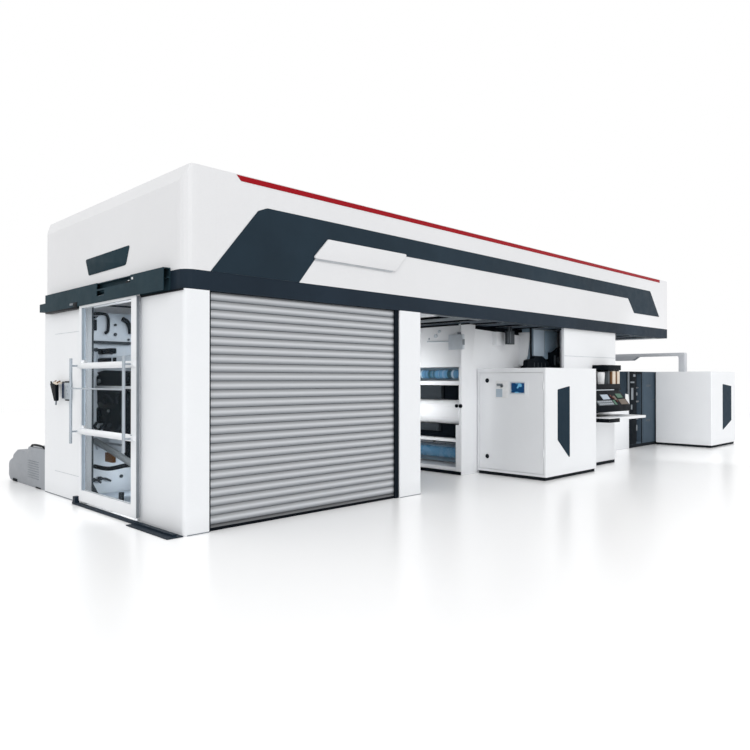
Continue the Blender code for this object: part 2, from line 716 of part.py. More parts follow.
def door_track():
    """Channel on the end wall: a cover in front, a ledge inside on which the door's wheels run."""
    low, high = BAND_BOTTOM + SEAM, BAND_TOP
    ledge_low = LEDGE_TOP - LEDGE_THICKNESS
    ledge_tip = TRACK_BACK - LEDGE_REACH
    cover = TRACK_FRONT + TRACK_SKIN
    section = [(BAND_THICKNESS, low), (BAND_THICKNESS, high), (-SEAM, high), (-SEAM, TRACK_TOP),
               (TRACK_FRONT, TRACK_TOP), (TRACK_FRONT, low), (cover, low), (cover, TRACK_TOP - TRACK_SKIN),
               (TRACK_BACK, TRACK_TOP - TRACK_SKIN), (TRACK_BACK, LEDGE_TOP), (ledge_tip, LEDGE_TOP),
               (ledge_tip, ledge_low), (TRACK_BACK, ledge_low), (TRACK_BACK, low)]
    track = extrusion("door_track", "XZ", section, TRACK_START, TRACK_END, SLATE)
    slot_end = TRACK_SLOT_START + TRACK_SLOT_LENGTH
    opening = block("track_slot", (TRACK_FRONT - TRACK_SKIN, TRACK_SLOT_START, LEDGE_TOP + TRACK_SLOT_SILL),
                    (cover + TRACK_SKIN, slot_end, TRACK_TOP + TRACK_SKIN))
    window_high = LEDGE_TOP - LEDGE_THICKNESS / 3
    window_low = window_high - TRACK_WINDOW_HEIGHT
    window = block("track_window", (TRACK_FRONT - TRACK_SKIN, slot_end - TRACK_WINDOW_LENGTH, window_low),
                   (cover + TRACK_SKIN, slot_end, window_high))
    cut(track, opening, window)
    stub_low = BAND_BOTTOM + (LEDGE_TOP - BAND_BOTTOM - TRACK_STUB_HEIGHT) / 2
    stub = block("track_stub", (TRACK_FRONT + TRACK_SKIN / 2, TRACK_END - TRACK_STUB_LENGTH / 5, stub_low),
                 (TRACK_BACK + TRACK_SKIN / 2, TRACK_END + TRACK_STUB_LENGTH, stub_low + TRACK_STUB_HEIGHT))
    fuse(track, stub)
    rail_back = FLOOR_RAIL_FACE + FLOOR_RAIL_WIDTH
    stop_front = LEAF_REAR + FLOOR_RAIL_GAP
    stop_rear = stop_front + RAIL_STOP_LENGTH
    rail_front = LEAF_FRONT - DOOR_TRAVEL - FLOOR_RAIL_GAP
    rail = block("floor_rail", (FLOOR_RAIL_FACE, rail_front, 0),
                 (rail_back, stop_rear + FLOOR_RAIL_GAP, FLOOR_RAIL_HEIGHT), SLATE)
    stop = block("rail_stop", (FLOOR_RAIL_FACE - RAIL_STOP_LAP, stop_front, 0),
                 (rail_back + RAIL_STOP_LAP, stop_rear, RAIL_STOP_HEIGHT))
    step = block("threshold", (-THRESHOLD_REACH, TRIM_THICKNESS, 0), (-SEAM, LEAF_FRONT, THRESHOLD_HEIGHT))
    fuse(rail, step, stop)


def sliding_door():
    """Glazed leaf with two crossbars, hung on two wheels, and its pair of tube handles."""
    face, back = LEAF_FACE, LEAF_FACE + LEAF_THICKNESS
    light_front, light_rear = LEAF_FRONT + STILE_FRONT, LEAF_REAR - STILE_REAR
    half = CROSSBAR_HEIGHT / 2
    heights = (LEAF_BOTTOM + LEAF_SILL, CROSSBAR_LOW - half, CROSSBAR_LOW + half, CROSSBAR_HIGH - half,
               CROSSBAR_HIGH + half, LEAF_TOP - LEAF_HEAD)
    outline = [(LEAF_FRONT, LEAF_BOTTOM), (LEAF_REAR, LEAF_BOTTOM), (LEAF_REAR, LEAF_TOP),
               (LEAF_FRONT, LEAF_TOP)]
    lights = []
    for low, high in zip(heights[0::2], heights[1::2]):
        lights.append([(light_front, low), (light_rear, low), (light_rear, high), (light_front, high)])
    leaf = extrusion("door_leaf", "YZ", outline, face, back, WHITE, holes=lights)
    for height in (CROSSBAR_LOW, CROSSBAR_HIGH):
        bar = rod("crossbar", "Y", (face, LEAF_FRONT + TRIM_THICKNESS, height),
                  LEAF_REAR - LEAF_FRONT - 2 * TRIM_THICKNESS, CROSSBAR_ROUND)
        fuse(leaf, bar)
    pane_low = (light_front - REBATE_LAP, heights[0] - REBATE_LAP)
    pane_high = (light_rear + REBATE_LAP, heights[-1] + REBATE_LAP)
    rebate = block("glass_rebate", (back - REBATE_DEPTH, *pane_low), (back + REBATE_DEPTH, *pane_high))
    cut(leaf, rebate)
    wheel_height = LEDGE_TOP + SEAM + WHEEL_RADIUS
    plate_back = TRACK_BACK - LEDGE_REACH - RUNNING_CLEARANCE
    plate_face = plate_back - HANGER_THICKNESS
    for number, spot in enumerate((LEAF_FRONT + HANGER_INSET, LEAF_REAR - HANGER_INSET)):
        plate = block("hanger_%d" % number, (plate_face, spot - HANGER_WIDTH / 2, LEAF_TOP - LEAF_HEAD / 3),
                      (plate_back, spot + HANGER_WIDTH / 2, wheel_height + WHEEL_RADIUS / 2))
        wheel = rod("wheel_%d" % number, "X", (plate_back - WHEEL_LAP, spot, wheel_height),
                    TRACK_BACK - RUNNING_CLEARANCE - plate_back + WHEEL_LAP, WHEEL_RADIUS)
        fuse(leaf, plate, wheel)
    pane_front = back - REBATE_DEPTH + SEAM
    block("door_glass", (pane_front, pane_low[0] + SEAM, pane_low[1] + SEAM),
          (pane_front + GLASS_THICKNESS, pane_high[0] - SEAM, pane_high[1] - SEAM), GLASS)
    tube_x = face - HANDLE_STANDOFF
    bars = (LEAF_FRONT + HANDLE_FRONT_INSET, LEAF_REAR - HANDLE_REAR_INSET)
    length = HANDLE_TOP - HANDLE_BOTTOM
    handles = rod("door_handles", "Z", (tube_x, bars[0], HANDLE_BOTTOM), length, HANDLE_RADIUS, HANDLE_GREY)
    fuse(handles, rod("grip_rail", "Y", (tube_x, bars[0], GRIP_HEIGHT), bars[1] - bars[0], GRIP_RADIUS,
                      sides=12))
    fuse(handles, rod("handle_rear", "Z", (tube_x, bars[1], HANDLE_BOTTOM), length, HANDLE_RADIUS))
    for bar in bars:
        for height in (CROSSBAR_LOW, CROSSBAR_HIGH):
            post = rod("standoff", "X", (tube_x, bar, height), HANDLE_STANDOFF - CROSSBAR_ROUND - SEAM,
                       STANDOFF_RADIUS, sides=16)
            fuse(handles, post)


def wall_fittings():
    """Push-button box and tapered tool holder beside the door."""
    box_front = LEAF_REAR + BUTTON_BOX_GAP
    box_rear = box_front + BUTTON_BOX_WIDTH
    soften(block("control_box", (-BUTTON_BOX_DEPTH, box_front, BUTTON_BOX_LOW),
                 (-SEAM, box_rear, BUTTON_BOX_LOW + BUTTON_BOX_HEIGHT), DUCT_GREY), 0.008)
    height, width = HOLDER_HEIGHT, HOLDER_WIDTH
    low, high = HOLDER_LOW, HOLDER_LOW + height
    front = box_rear + HOLDER_GAP
    rear = front + width
    holder = [(front, high), (rear, high), (rear - 0.06 * width, high - 0.43 * height),
              (rear - 0.33 * width, high - 0.74 * height), (rear - 0.45 * width, low),
              (front + 0.36 * width, low), (front + 0.30 * width, high - 0.69 * height),
              (front + 0.09 * width, high - 0.40 * height)]
    extrusion("tool_holder", "YZ", holder, -HOLDER_DEPTH, -SEAM, BLACK)


# Print unit

def side_frames():
    """Two cast side frames with lightening holes; the drum and the decks stand between them."""
    outline = rounded([(FRAME_START, 0), (FRAME_END, 0), (FRAME_END, BAND_BOTTOM, 0.25),
                       (FRAME_START, BAND_BOTTOM, 0.25)])
    holes = []
    for across in (FRAME_START + 0.30, FRAME_END - 0.30):
        for height, radius in ((0.34, 0.09), (2.40, 0.07)):
            holes.append([(across + radius * math.cos(math.tau * step / 20),
                           height + radius * math.sin(math.tau * step / 20)) for step in range(20)])
    extrusion("side_frame_front", "XZ", outline, FRAME_INSET - FRAME_THICKNESS, FRAME_INSET, FRAME_BLUE,
              holes=holes)
    rear = PRESS_DEPTH - FRAME_INSET
    extrusion("side_frame_rear", "XZ", outline, rear, rear + FRAME_THICKNESS, FRAME_BLUE, holes=holes)


def impression_drum():
    """Central drum, stepped down to a journal at each side frame."""
    half = PRESS_DEPTH / 2 - FRAME_INSET - SEAM
    shoulder = half - DRUM_END_GAP
    profile = [(0, half), (DRUM_JOURNAL, half), (DRUM_JOURNAL, shoulder), (DRUM_RADIUS - 0.02, shoulder),
               (DRUM_RADIUS, shoulder - 0.02), (DRUM_RADIUS, -shoulder + 0.02),
               (DRUM_RADIUS - 0.02, -shoulder), (DRUM_JOURNAL, -shoulder), (DRUM_JOURNAL, -half), (0, -half)]
    turned("impression_drum", "Y", (DRUM_CENTRE_X, PRESS_DEPTH / 2, DRUM_CENTRE_Z), profile, STEEL)


def deck_shape(offset):
    """One print deck about the drum's axis: plate roller, ink roller, chamber and tray in two cheeks."""
    half = PRESS_DEPTH / 2 - FRAME_INSET - SEAM
    reach = DRUM_RADIUS + PLATE_ROLLER + NIP
    plate_x = -math.sqrt(reach * reach - offset * offset)
    ink_x = plate_x - PLATE_ROLLER - INK_ROLLER - NIP
    cheek_half = DECK_PLATE_HALF
    cheek = rounded([(-DECK_OUTER, -cheek_half, 0.03), (plate_x + 0.05, -cheek_half, 0.05),
                     (plate_x + 0.05, cheek_half, 0.05), (-DECK_OUTER, cheek_half, 0.03)], 3)
    label = "deck_%d" % round(offset * 100)
    inner = half - DECK_PLATE_THICKNESS
    deck = extrusion(label, "XZ", cheek, inner, half)
    far = extrusion(label + "_cheek", "XZ", cheek, -half, -inner)
    span = 2 * (half - DECK_PLATE_THICKNESS / 2)
    start = -half + DECK_PLATE_THICKNESS / 2
    pieces = [rod(label + "_plate", "Y", (plate_x, start, 0), span, PLATE_ROLLER, sides=20),
              rod(label + "_ink", "Y", (ink_x, start, 0), span, INK_ROLLER, sides=20)]
    chamber_end = ink_x - INK_ROLLER + 0.01
    pieces.append(block(label + "_chamber", (chamber_end - 0.10, start, -0.05), (chamber_end, -start, 0.05)))
    pieces.append(block(label + "_tray", (-DECK_OUTER + 0.02, start, -cheek_half + 0.03),
                        (-DECK_OUTER + 0.02 + DECK_TRAY, -start, -cheek_half + 0.11)))
    fuse(deck, *pieces, far)
    bpy.context.view_layer.update()
    mesh = bpy.data.meshes.new_from_object(deck.evaluated_get(bpy.context.evaluated_depsgraph_get()))
    mesh.transform(Matrix.Translation(deck.location))
    for extra in (deck, far, *pieces):
        bpy.data.objects.remove(extra, do_unlink=True)
    return mesh


def print_decks():
    """Four decks on the door side of the drum and four opposite."""
    number = 0
    for offset in DECK_OFFSETS:
        mesh = deck_shape(offset)
        for turn in (0, math.pi):
            for height in (-offset, offset):
                number += 1
                deck = bpy.data.objects.new("print_deck_%d" % number, mesh)
                deck.location = (DRUM_CENTRE_X, PRESS_DEPTH / 2, DRUM_CENTRE_Z + height)
                deck.rotation_euler = (0, 0, turn)
                place(deck, BLACK)


# Web unit

def web_unit():
    """Two side frames, the covers between them with four openings, and two turning rollers."""
    front_low, front_high = WEB_FRONT, WEB_FRONT + WEB_FRAME_THICKNESS
    rear_low, rear_high = PRESS_DEPTH - front_high, PRESS_DEPTH - front_low
    post_end = WEB_START + WEB_POST_WIDTH
    end = WEB_FOOT_END + WEB_REAR_REACH
    slant = (WEB_FOOT_END, WEB_SLOTS[-1][1] + 0.01), (end - 0.03, WEB_TOP_REAR - 0.22, 0.05)
    side = rounded([(WEB_START, 0), (WEB_FOOT_END, 0), *slant, (end, WEB_TOP_REAR), (post_end, WEB_TOP),
                    (post_end, BAND_BOTTOM), (WEB_START, BAND_BOTTOM)])
    near = extrusion("web_frame_front", "XZ", side, front_low, front_high, WHITE)
    far = extrusion("web_frame_rear", "XZ", side, rear_low, rear_high, WHITE)
    rollers = (("upper", WEB_SLOTS[-1], UPPER_ROLLER_INSET, UPPER_ROLLER_RADIUS),
               ("lower", WEB_SLOTS[0], LOWER_ROLLER_INSET, LOWER_ROLLER_RADIUS))
    for label, slot, inset, radius in rollers:
        across, height = WEB_START + inset, sum(slot) / 2
        bore = ROLLER_JOURNAL + JOURNAL_CLEARANCE
        cut(near, rod("bore_front_" + label, "Y", (across, front_high - JOURNAL_DEPTH - SEAM, height),
                      2 * JOURNAL_DEPTH, bore, outside=True))
        cut(far, rod("bore_rear_" + label, "Y", (across, rear_low - JOURNAL_DEPTH + SEAM, height),
                     2 * JOURNAL_DEPTH, bore, outside=True))
        middle = (front_high + rear_low) / 2
        half = rear_low - middle
        body = half - RUNNING_CLEARANCE
        tip = half + JOURNAL_DEPTH - RUNNING_CLEARANCE
        profile = [(0, tip), (ROLLER_JOURNAL, tip), (ROLLER_JOURNAL, body), (radius, body),
                   (radius, -body), (ROLLER_JOURNAL, -body), (ROLLER_JOURNAL, -tip), (0, -tip)]
        turned("web_roller_" + label, "Y", (across, middle, height), profile, FILM_BLUE, sides=24)
    face = WEB_START + WEB_COVER_SETBACK
    stile = block("lower_stile", (WEB_START, front_high - WEB_FRAME_THICKNESS / 2, WEB_SKIRT),
                  (face - SEAM, front_high + WEB_STILE_WIDTH, WEB_STILE_TOP))
    junction_start, junction_top = WEB_START + JUNCTION_BOX_INSET, WEB_TOP_REAR + 0.04
    junction = block("junction_box",
                     (junction_start, front_low - JUNCTION_BOX_DEPTH, junction_top - JUNCTION_BOX_HEIGHT),
                     (junction_start + JUNCTION_BOX_WIDTH, front_low + WEB_FRAME_THICKNESS / 2, junction_top))
    fuse(near, stile, junction)
    deep = face + WEB_SLOT_DEPTH
    foot = WEB_FOOT_END - WEB_FRAME_THICKNESS
    heights = [WEB_SKIRT, *(height for slot in WEB_SLOTS for height in slot), BAND_BOTTOM - TUNNEL_CLEARANCE]
    walls = list(zip(heights[0::2], heights[1::2]))
    cover = [(foot, WEB_SKIRT)]
    for index, (low, high) in enumerate(walls):
        middle_wall = index == len(walls) // 2
        front_x = face - WEB_BULGE if middle_wall else face
        rounding = WEB_BULGE_ROUNDING if middle_wall else 0.0
        if index:
            cover.append((deep, low))
        cover += [(front_x, low, rounding), (front_x, high, rounding)]
        if index < len(walls) - 1:
            cover.append((deep, high))
    cover_top = WEB_TOP - WEB_COVER_SETBACK * 2
    cover += [(post_end - WEB_COVER_SETBACK, walls[-1][1]), (post_end - WEB_COVER_SETBACK, cover_top),
              (end - 0.07, WEB_TOP_REAR - WEB_COVER_SETBACK * 2), (end - 0.11, WEB_TOP_REAR - 0.22),
              (foot, WEB_SLOTS[-1][1] + 0.03)]
    extrusion("web_covers", "XZ", rounded(cover), front_high + SEAM, rear_low - SEAM, WHITE)


def drying_tunnel():
    """Dark tunnel between the web unit and the ladder, and its shaft down to the low housing."""
    start = WEB_START + WEB_POST_WIDTH + 2 * JOURNAL_CLEARANCE
    low = WEB_TOP - WEB_COVER_SETBACK * 2 + TUNNEL_CLEARANCE
    shaft = WEB_FOOT_END + SHAFT_GAP
    foot = HOUSING_HEIGHT + SEAM
    section = [(start, low), (shaft, low), (shaft, foot), (shaft + SHAFT_LENGTH, foot),
               (shaft + SHAFT_LENGTH, BAND_BOTTOM), (start, BAND_BOTTOM)]
    inset = WEB_FRONT + WEB_FRAME_THICKNESS + TUNNEL_INSET
    extrusion("drying_tunnel", "XZ", section, inset, PRESS_DEPTH - inset, BLACK)


# Cabinets

def cabinet_box(name, start, width, depth):
    """Closed housing on a set-back plinth, its edges lightly rounded."""
    end, back = start + width, CABINET_FRONT + depth
    r = CABINET_ROUNDING
    plan = rounded([(start, CABINET_FRONT, r), (end, CABINET_FRONT, r), (end, back, r), (start, back, r)], 3)
    body = extrusion(name, "XY", plan, PLINTH_HEIGHT, CABINET_HEIGHT, WHITE)
    plinth = block(name + "_plinth", (start + PLINTH_SETBACK, CABINET_FRONT + PLINTH_SETBACK, 0),
                   (end - PLINTH_SETBACK, back - PLINTH_SETBACK, PLINTH_HEIGHT + 0.02))
    return fuse(body, plinth)


def inlay(name, start, spots):
    """Dark slanted inlay, seated on the cabinet's front."""
    outline = [(start + across, height, CABINET_ROUNDING) for across, height in spots]
    return extrusion(name, "XZ", rounded(outline, 3), CABINET_FRONT - TRIM_THICKNESS, CABINET_FRONT - SEAM,
                     SLATE)


def cabinets():
    middle = cabinet_box("cabinet_middle", CABINET_MIDDLE_X, CABINET_WIDTH, CABINET_DEPTH)
    cabinet_box("cabinet_right", RIGHT_CABINET_X, RIGHT_CABINET_WIDTH, RIGHT_CABINET_DEPTH)
    inlay("cabinet_middle_inlay", CABINET_MIDDLE_X, INLAY_MIDDLE)
    inlay("cabinet_right_inlay", RIGHT_CABINET_X, INLAY_RIGHT)
    face = CABINET_MIDDLE_X
    front = CABINET_FRONT + DOOR_FRONT_MARGIN
    rear = CABINET_FRONT + CABINET_DEPTH - DOOR_REAR_MARGIN
    play = RUNNING_CLEARANCE
    recess = block("door_recess", (face - DOOR_RECESS, front - play, DOOR_BOTTOM - play),
                   (face + DOOR_RECESS, rear + play, DOOR_TOP + play))
    cut(middle, recess)
    hinge = bpy.data.objects.new("cabinet_door_hinge", None)
    hinge.location = (face - KNUCKLE_OFFSET, front - play / 2, 0)
    hinge.parent = press_frame
    parts.objects.link(hinge)
    door = block("cabinet_door", (face, front, DOOR_BOTTOM), (face + DOOR_PANEL, rear, DOOR_TOP), WHITE, hinge)
    for number, height in enumerate(HINGE_HEIGHTS):
        spot = (hinge.location.x, hinge.location.y)
        low = rod("knuckle_low_%d" % number, "Z", (*spot, height), KNUCKLE_LENGTH, KNUCKLE_RADIUS, sides=16)
        high = rod("knuckle_high_%d" % number, "Z", (*spot, height + KNUCKLE_LENGTH + SEAM), KNUCKLE_LENGTH,
                   KNUCKLE_RADIUS, sides=16)
        clear = rod("knuckle_room_%d" % number, "Z", (*spot, height - 2 * SEAM),
                    2 * KNUCKLE_LENGTH + 5 * SEAM, KNUCKLE_RADIUS + 0.002, sides=16, outside=True)
        cut(middle, clear)
        cut(door, clear)
        tab_low = block("leaf_low_%d" % number, (face + 0.001, front - play - HINGE_TAB, height),
                        (face + 0.009, spot[1], height + KNUCKLE_LENGTH))
        tab_high = block("leaf_high_%d" % number, (face + 0.001, spot[1], height + KNUCKLE_LENGTH + SEAM),
                         (face + 0.009, front + HINGE_TAB, height + 2 * KNUCKLE_LENGTH + SEAM))
        fuse(middle, tab_low, low)
        fuse(door, tab_high, high)
    for height in LOCK_HEIGHTS:
        spot = (face - LOCK_PROUD, rear - LOCK_INSET, height)
        fuse(door, rod("door_lock", "X", spot, 2 * LOCK_PROUD, LOCK_RADIUS, sides=20))
    screen_front = CABINET_FRONT + SCREEN_INSET
    fuse(door, block("screen_bezel", (face - SCREEN_PROUD, screen_front, SCREEN_LOW),
                     (face + DOOR_PANEL / 2, screen_front + SCREEN_WIDTH, SCREEN_LOW + SCREEN_HEIGHT)))


# Column, console and the blower behind it

def console():
    front, core = COLUMN_FRONT, COLUMN_FRONT + COLUMN_PANEL
    end, rear = COLUMN_START + COLUMN_WIDTH, COLUMN_FRONT + COLUMN_DEPTH
    inset = COLUMN_START + COLUMN_CORE_INSET
    extrusion("console_column", "XY", [(COLUMN_START, front), (end, front), (end, rear), (inset, rear),
                                       (inset, core), (COLUMN_START, core)], 0, BAND_BOTTOM, WHITE)
    back = COLUMN_FRONT - SEAM
    canopy_low = CANOPY_TOP - CANOPY_THICKNESS
    canopy_front = COLUMN_FRONT - CANOPY_REACH
    lining = back - BOOTH_LINING
    shelf_front = canopy_front + SHELF_SETBACK
    shelf_top = SHELF_HEIGHT + SHELF_THICKNESS
    booth = [(back, SHELF_HEIGHT), (back, CANOPY_TOP), (canopy_front, CANOPY_TOP, 0.04),
             (canopy_front, canopy_low), (lining, canopy_low), (lining, shelf_top), (shelf_front, shelf_top),
             (shelf_front, SHELF_HEIGHT)]
    extrusion("console_booth", "YZ", rounded(booth), CONSOLE_START, CONSOLE_END, SLATE)
    panel_low, panel_high = DESK_TOP + PANEL_GAP, SHELF_HEIGHT - SEAM
    panel_front = COLUMN_FRONT - PANEL_REACH
    knee = panel_low + PANEL_LIP
    panel = [(back, panel_low), (back, panel_high), (canopy_front, panel_high),
             (panel_front + 0.15, panel_high - 0.11), (panel_front, knee, 0.03),
             (panel_front, panel_low + 0.02)]
    panel_start, panel_end = CONSOLE_START + PANEL_INSET, CONSOLE_END - PANEL_END_INSET
    extrusion("console_panel", "YZ", rounded(panel), panel_start, panel_end, BLACK)
    desk_low = DESK_TOP - DESK_THICKNESS
    desk_front, desk_end = COLUMN_FRONT - DESK_REACH, CONSOLE_END + DESK_OVERHANG
    plan = rounded([(CONSOLE_START, desk_front, 0.08), (desk_end, desk_front, 0.02), (desk_end, back),
                    (CONSOLE_START, back)])
    desk = extrusion("console_desk", "XY", plan, desk_low, DESK_TOP, WHITE)
    base_front = COLUMN_FRONT - BASE_REACH
    base_start = CONSOLE_START + BASE_INSET
    base = block("console_base", (base_start, base_front, PLINTH_HEIGHT),
                 (base_start + BASE_LENGTH, back, desk_low + DESK_THICKNESS / 2))
    foot = block("console_foot", (base_start + PLINTH_SETBACK, base_front + PLINTH_SETBACK, 0),
                 (base_start + BASE_LENGTH - PLINTH_SETBACK, back, PLINTH_HEIGHT + 0.02))
    fuse(desk, base, foot)


def blower():
    """Two blower scrolls on the cabinet, a motor box behind the column, and the duct into the hood."""
    seat = CABINET_HEIGHT + SEAM
    cabinet_end = CABINET_MIDDLE_X + CABINET_WIDTH
    left, right = cabinet_end - SCROLL_START, cabinet_end + SCROLL_REACH
    space = BAND_BOTTOM - seat
    low, high, slope_low, slope_high = (seat + share * space for share in
                                        (SCROLL_LOW, SCROLL_HIGH, DUCT_SLOPE_LOW, DUCT_SLOPE_HIGH))
    saddle = left + 0.31

    def scrolls(lift):
        return rounded([(left, seat + lift), (left + 0.12, low + lift, 0.08), (saddle, low + lift, 0.03),
                        (saddle + 0.14, high + lift, 0.10), (right - 0.21, high + lift, 0.10),
                        (right, low - 0.01 + lift, 0.04), (right, seat + lift)])

    duct_left = cabinet_end - DUCT_SIDE_START
    duct_right = duct_left + DUCT_SIDE_WIDTH
    neck = duct_right - DUCT_NECK
    housing = extrusion("blower_housing", "XZ", scrolls(0), SCROLL_FRONT, BLOWER_REAR, BLACK)
    box_start, box_end = neck + SEAM, duct_right + MOTOR_BOX_OVERHANG
    room = 2 * SEAM
    box = extrusion("motor_box", "XZ", [(box_start, seat), (box_end, seat), (box_end, slope_high - room),
                                        (duct_right, slope_high - room), (box_start, slope_low - room)],
                    COLUMN_FRONT + COLUMN_DEPTH + SEAM, BLOWER_REAR)
    bridge = block("motor_bridge", (right - 0.05, SCROLL_FRONT + 0.10, seat),
                   (box_start + 0.05, BLOWER_REAR, (seat + low) / 2))
    fuse(housing, bridge, box)
    side = [(duct_left, low), (neck, (low + high) / 2), (neck, slope_low), (duct_right, slope_high),
            (duct_right, BAND_BOTTOM), (duct_left, BAND_BOTTOM)]
    duct = extrusion("supply_duct", "XZ", side, SUPPLY_DUCT_FRONT, BLOWER_REAR, DUCT_GREY)
    beyond = duct_right + DUCT_NECK
    plan = rounded([(duct_left, SUPPLY_DUCT_FRONT, SUPPLY_DUCT_ROUNDING), (beyond, SUPPLY_DUCT_FRONT),
                    (beyond, BLOWER_REAR + SEAM), (duct_left, BLOWER_REAR + SEAM)])
    combine(duct, extrusion("duct_plan", "XY", plan, seat, ROOF_TOP), "INTERSECT")
    cut(duct, extrusion("scroll_room", "XZ", scrolls(room), COLUMN_FRONT, WEB_FRONT))


# Right-hand end and the supply unit at the rear

def right_end():
    """Winder tower, the low housing that joins it to the web unit, and the cable duct over it."""
    front = WEB_FRONT
    winder = block("winder", (WINDER_START, front, 0), (WINDER_END, WINDER_REAR, WINDER_HEIGHT), SLATE)
    recess_start = WINDER_START + WINDER_RECESS_INSET
    recess_end = recess_start + WINDER_RECESS_WIDTH
    recess = block("winder_recess", (recess_start, front - WINDER_RECESS_DEPTH, WINDER_RECESS_LOW),
                   (recess_end, front + WINDER_RECESS_DEPTH, WINDER_HEIGHT - WINDER_RECESS_TOP))
    cut(winder, recess)
    block("low_housing", (WEB_FOOT_END + SEAM, front, 0), (WINDER_START - SEAM, HOUSING_REAR, HOUSING_HEIGHT),
          WHITE)
    low = WINDER_HEIGHT + SEAM
    beam_low = DUCT_TOP - DUCT_BEAM
    foot, rear_foot = DUCT_FRONT + DUCT_POST, DUCT_REAR - DUCT_POST
    middle = (DUCT_FRONT + DUCT_REAR) / 2 + 0.26
    drop = beam_low - DUCT_DROP
    portal = [(DUCT_FRONT, CABINET_HEIGHT + SEAM), (foot, CABINET_HEIGHT + SEAM), (foot, beam_low, 0.05),
              (middle - 0.40, beam_low), (middle - 0.25, drop), (middle + 0.25, drop),
              (middle + 0.40, beam_low), (rear_foot, beam_low, 0.05), (rear_foot, low), (DUCT_REAR, low),
              (DUCT_REAR, DUCT_TOP, 0.04), (DUCT_FRONT, DUCT_TOP, 0.04)]
    extrusion("cable_duct", "YZ", rounded(portal), DUCT_X, DUCT_X + DUCT_WIDTH, DUCT_GREY)


def supply_unit():
    """Low unit at the rear wall: a lid at the wall, a long deck and a stepped, rounded end."""
    start = PRESS_DEPTH + SEAM
    end = start + SUPPLY_DEPTH
    deck, lid = SUPPLY_DECK, SUPPLY_HEIGHT
    section = [(start, 0), (end - 0.22, 0), (end - 0.07, 0.012, 0.04), (end, 0.08, 0.04),
               (end, 0.55 * deck, 0.08), (end - 0.12, 0.66 * deck, 0.03), (end - 0.21, 0.71 * deck, 0.02),
               (end - 0.235, 0.82 * deck, 0.03), (end - 0.46, deck, 0.15), (start + 0.84, deck, 0.05),
               (start + 0.76, lid, 0.02), (start, lid)]
    extrusion("supply_unit", "YZ", rounded(section), SUPPLY_START, SUPPLY_START + SUPPLY_LENGTH, UNIT_GREY)


hood()
bands()
bridge_ladder()
hood_trim()
walls()
shutters()
door_track()
sliding_door()
wall_fittings()
side_frames()
impression_drum()
print_decks()
web_unit()
drying_tunnel()
cabinets()
console()
blower()
right_end()
supply_unit()
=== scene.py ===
import math
import bmesh
import bpy
from mathutils import Matrix, Vector


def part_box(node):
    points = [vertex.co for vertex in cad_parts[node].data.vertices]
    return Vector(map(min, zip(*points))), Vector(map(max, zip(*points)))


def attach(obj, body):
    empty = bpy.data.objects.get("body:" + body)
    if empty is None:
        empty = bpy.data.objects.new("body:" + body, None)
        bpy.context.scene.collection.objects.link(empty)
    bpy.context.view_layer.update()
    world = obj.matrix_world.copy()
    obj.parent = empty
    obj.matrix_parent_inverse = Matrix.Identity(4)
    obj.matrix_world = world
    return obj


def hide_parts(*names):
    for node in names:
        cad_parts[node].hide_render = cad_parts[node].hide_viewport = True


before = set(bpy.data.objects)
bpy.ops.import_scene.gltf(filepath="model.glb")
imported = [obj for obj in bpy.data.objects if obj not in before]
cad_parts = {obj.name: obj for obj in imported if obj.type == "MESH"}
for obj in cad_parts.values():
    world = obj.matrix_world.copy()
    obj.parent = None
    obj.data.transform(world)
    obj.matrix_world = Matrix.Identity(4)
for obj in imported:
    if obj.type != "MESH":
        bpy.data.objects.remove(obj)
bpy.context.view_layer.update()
print("frame loaded,", len(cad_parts), "nodes")

# places are measured from the foot of the press's front left corner
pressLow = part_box("hood_left_end")[0]


def at(x, y, z):
    return Vector((pressLow.x + x, pressLow.y + y, z))


# camera and view

cameraSettings = {
    "place": (-3.714, -6.7005, 1.72),  # from the press's corner, eye height
    "lens": 32.45,
    "pitch": 90.348,
    "heading": -44.791,
}


def makeCamera(s):
    data = bpy.data.cameras.new("photoCamera")
    data.lens = s["lens"]
    data.sensor_width = 36
    data.clip_end = 200
    camera = bpy.data.objects.new("photoCamera", data)
    camera.location = at(*s["place"])
    camera.rotation_euler = (math.radians(s["pitch"]), 0, math.radians(s["heading"]))
    bpy.context.collection.objects.link(camera)
    bpy.context.scene.camera = camera


makeCamera(cameraSettings)
bpy.context.scene.view_settings.view_transform = "Standard"
print("camera set")


# helpers for the finishes' nodes

def startMaterial(name):
    material = bpy.data.materials.new(name)
    material.use_nodes = True
    return material, material.node_tree, material.node_tree.nodes["Principled BSDF"]


def setInputs(tree, node, inputs):
    # each input gets a value, or a link where another node's output is given
    for key, value in inputs.items():
        if isinstance(value, bpy.types.NodeSocket):
            tree.links.new(value, node.inputs[key])
        else:
            node.inputs[key].default_value = value


def addNode(tree, kind, inputs, **options):
    node = tree.nodes.new(kind)
    for key, value in options.items():
        setattr(node, key, value)
    setInputs(tree, node, inputs)
    return node


def stretched(tree, scale):
    coords = addNode(tree, "ShaderNodeTexCoord", {})
    inputs = {"Vector": coords.outputs["Object"], "Scale": scale}
    return addNode(tree, "ShaderNodeMapping", inputs).outputs["Vector"]


def noise(tree, vector, scale, detail=3.0, rough=0.5):
    inputs = {"Vector": vector, "Scale": scale, "Detail": detail, "Roughness": rough}
    return addNode(tree, "ShaderNodeTexNoise", inputs).outputs["Fac"]


def ramp(tree, value, low, high, fromLow=0.3, fromHigh=0.7, shape="LINEAR"):
    inputs = {"Value": value, "From Min": fromLow, "From Max": fromHigh, "To Min": low, "To Max": high}
    return addNode(tree, "ShaderNodeMapRange", inputs, interpolation_type=shape).outputs["Result"]


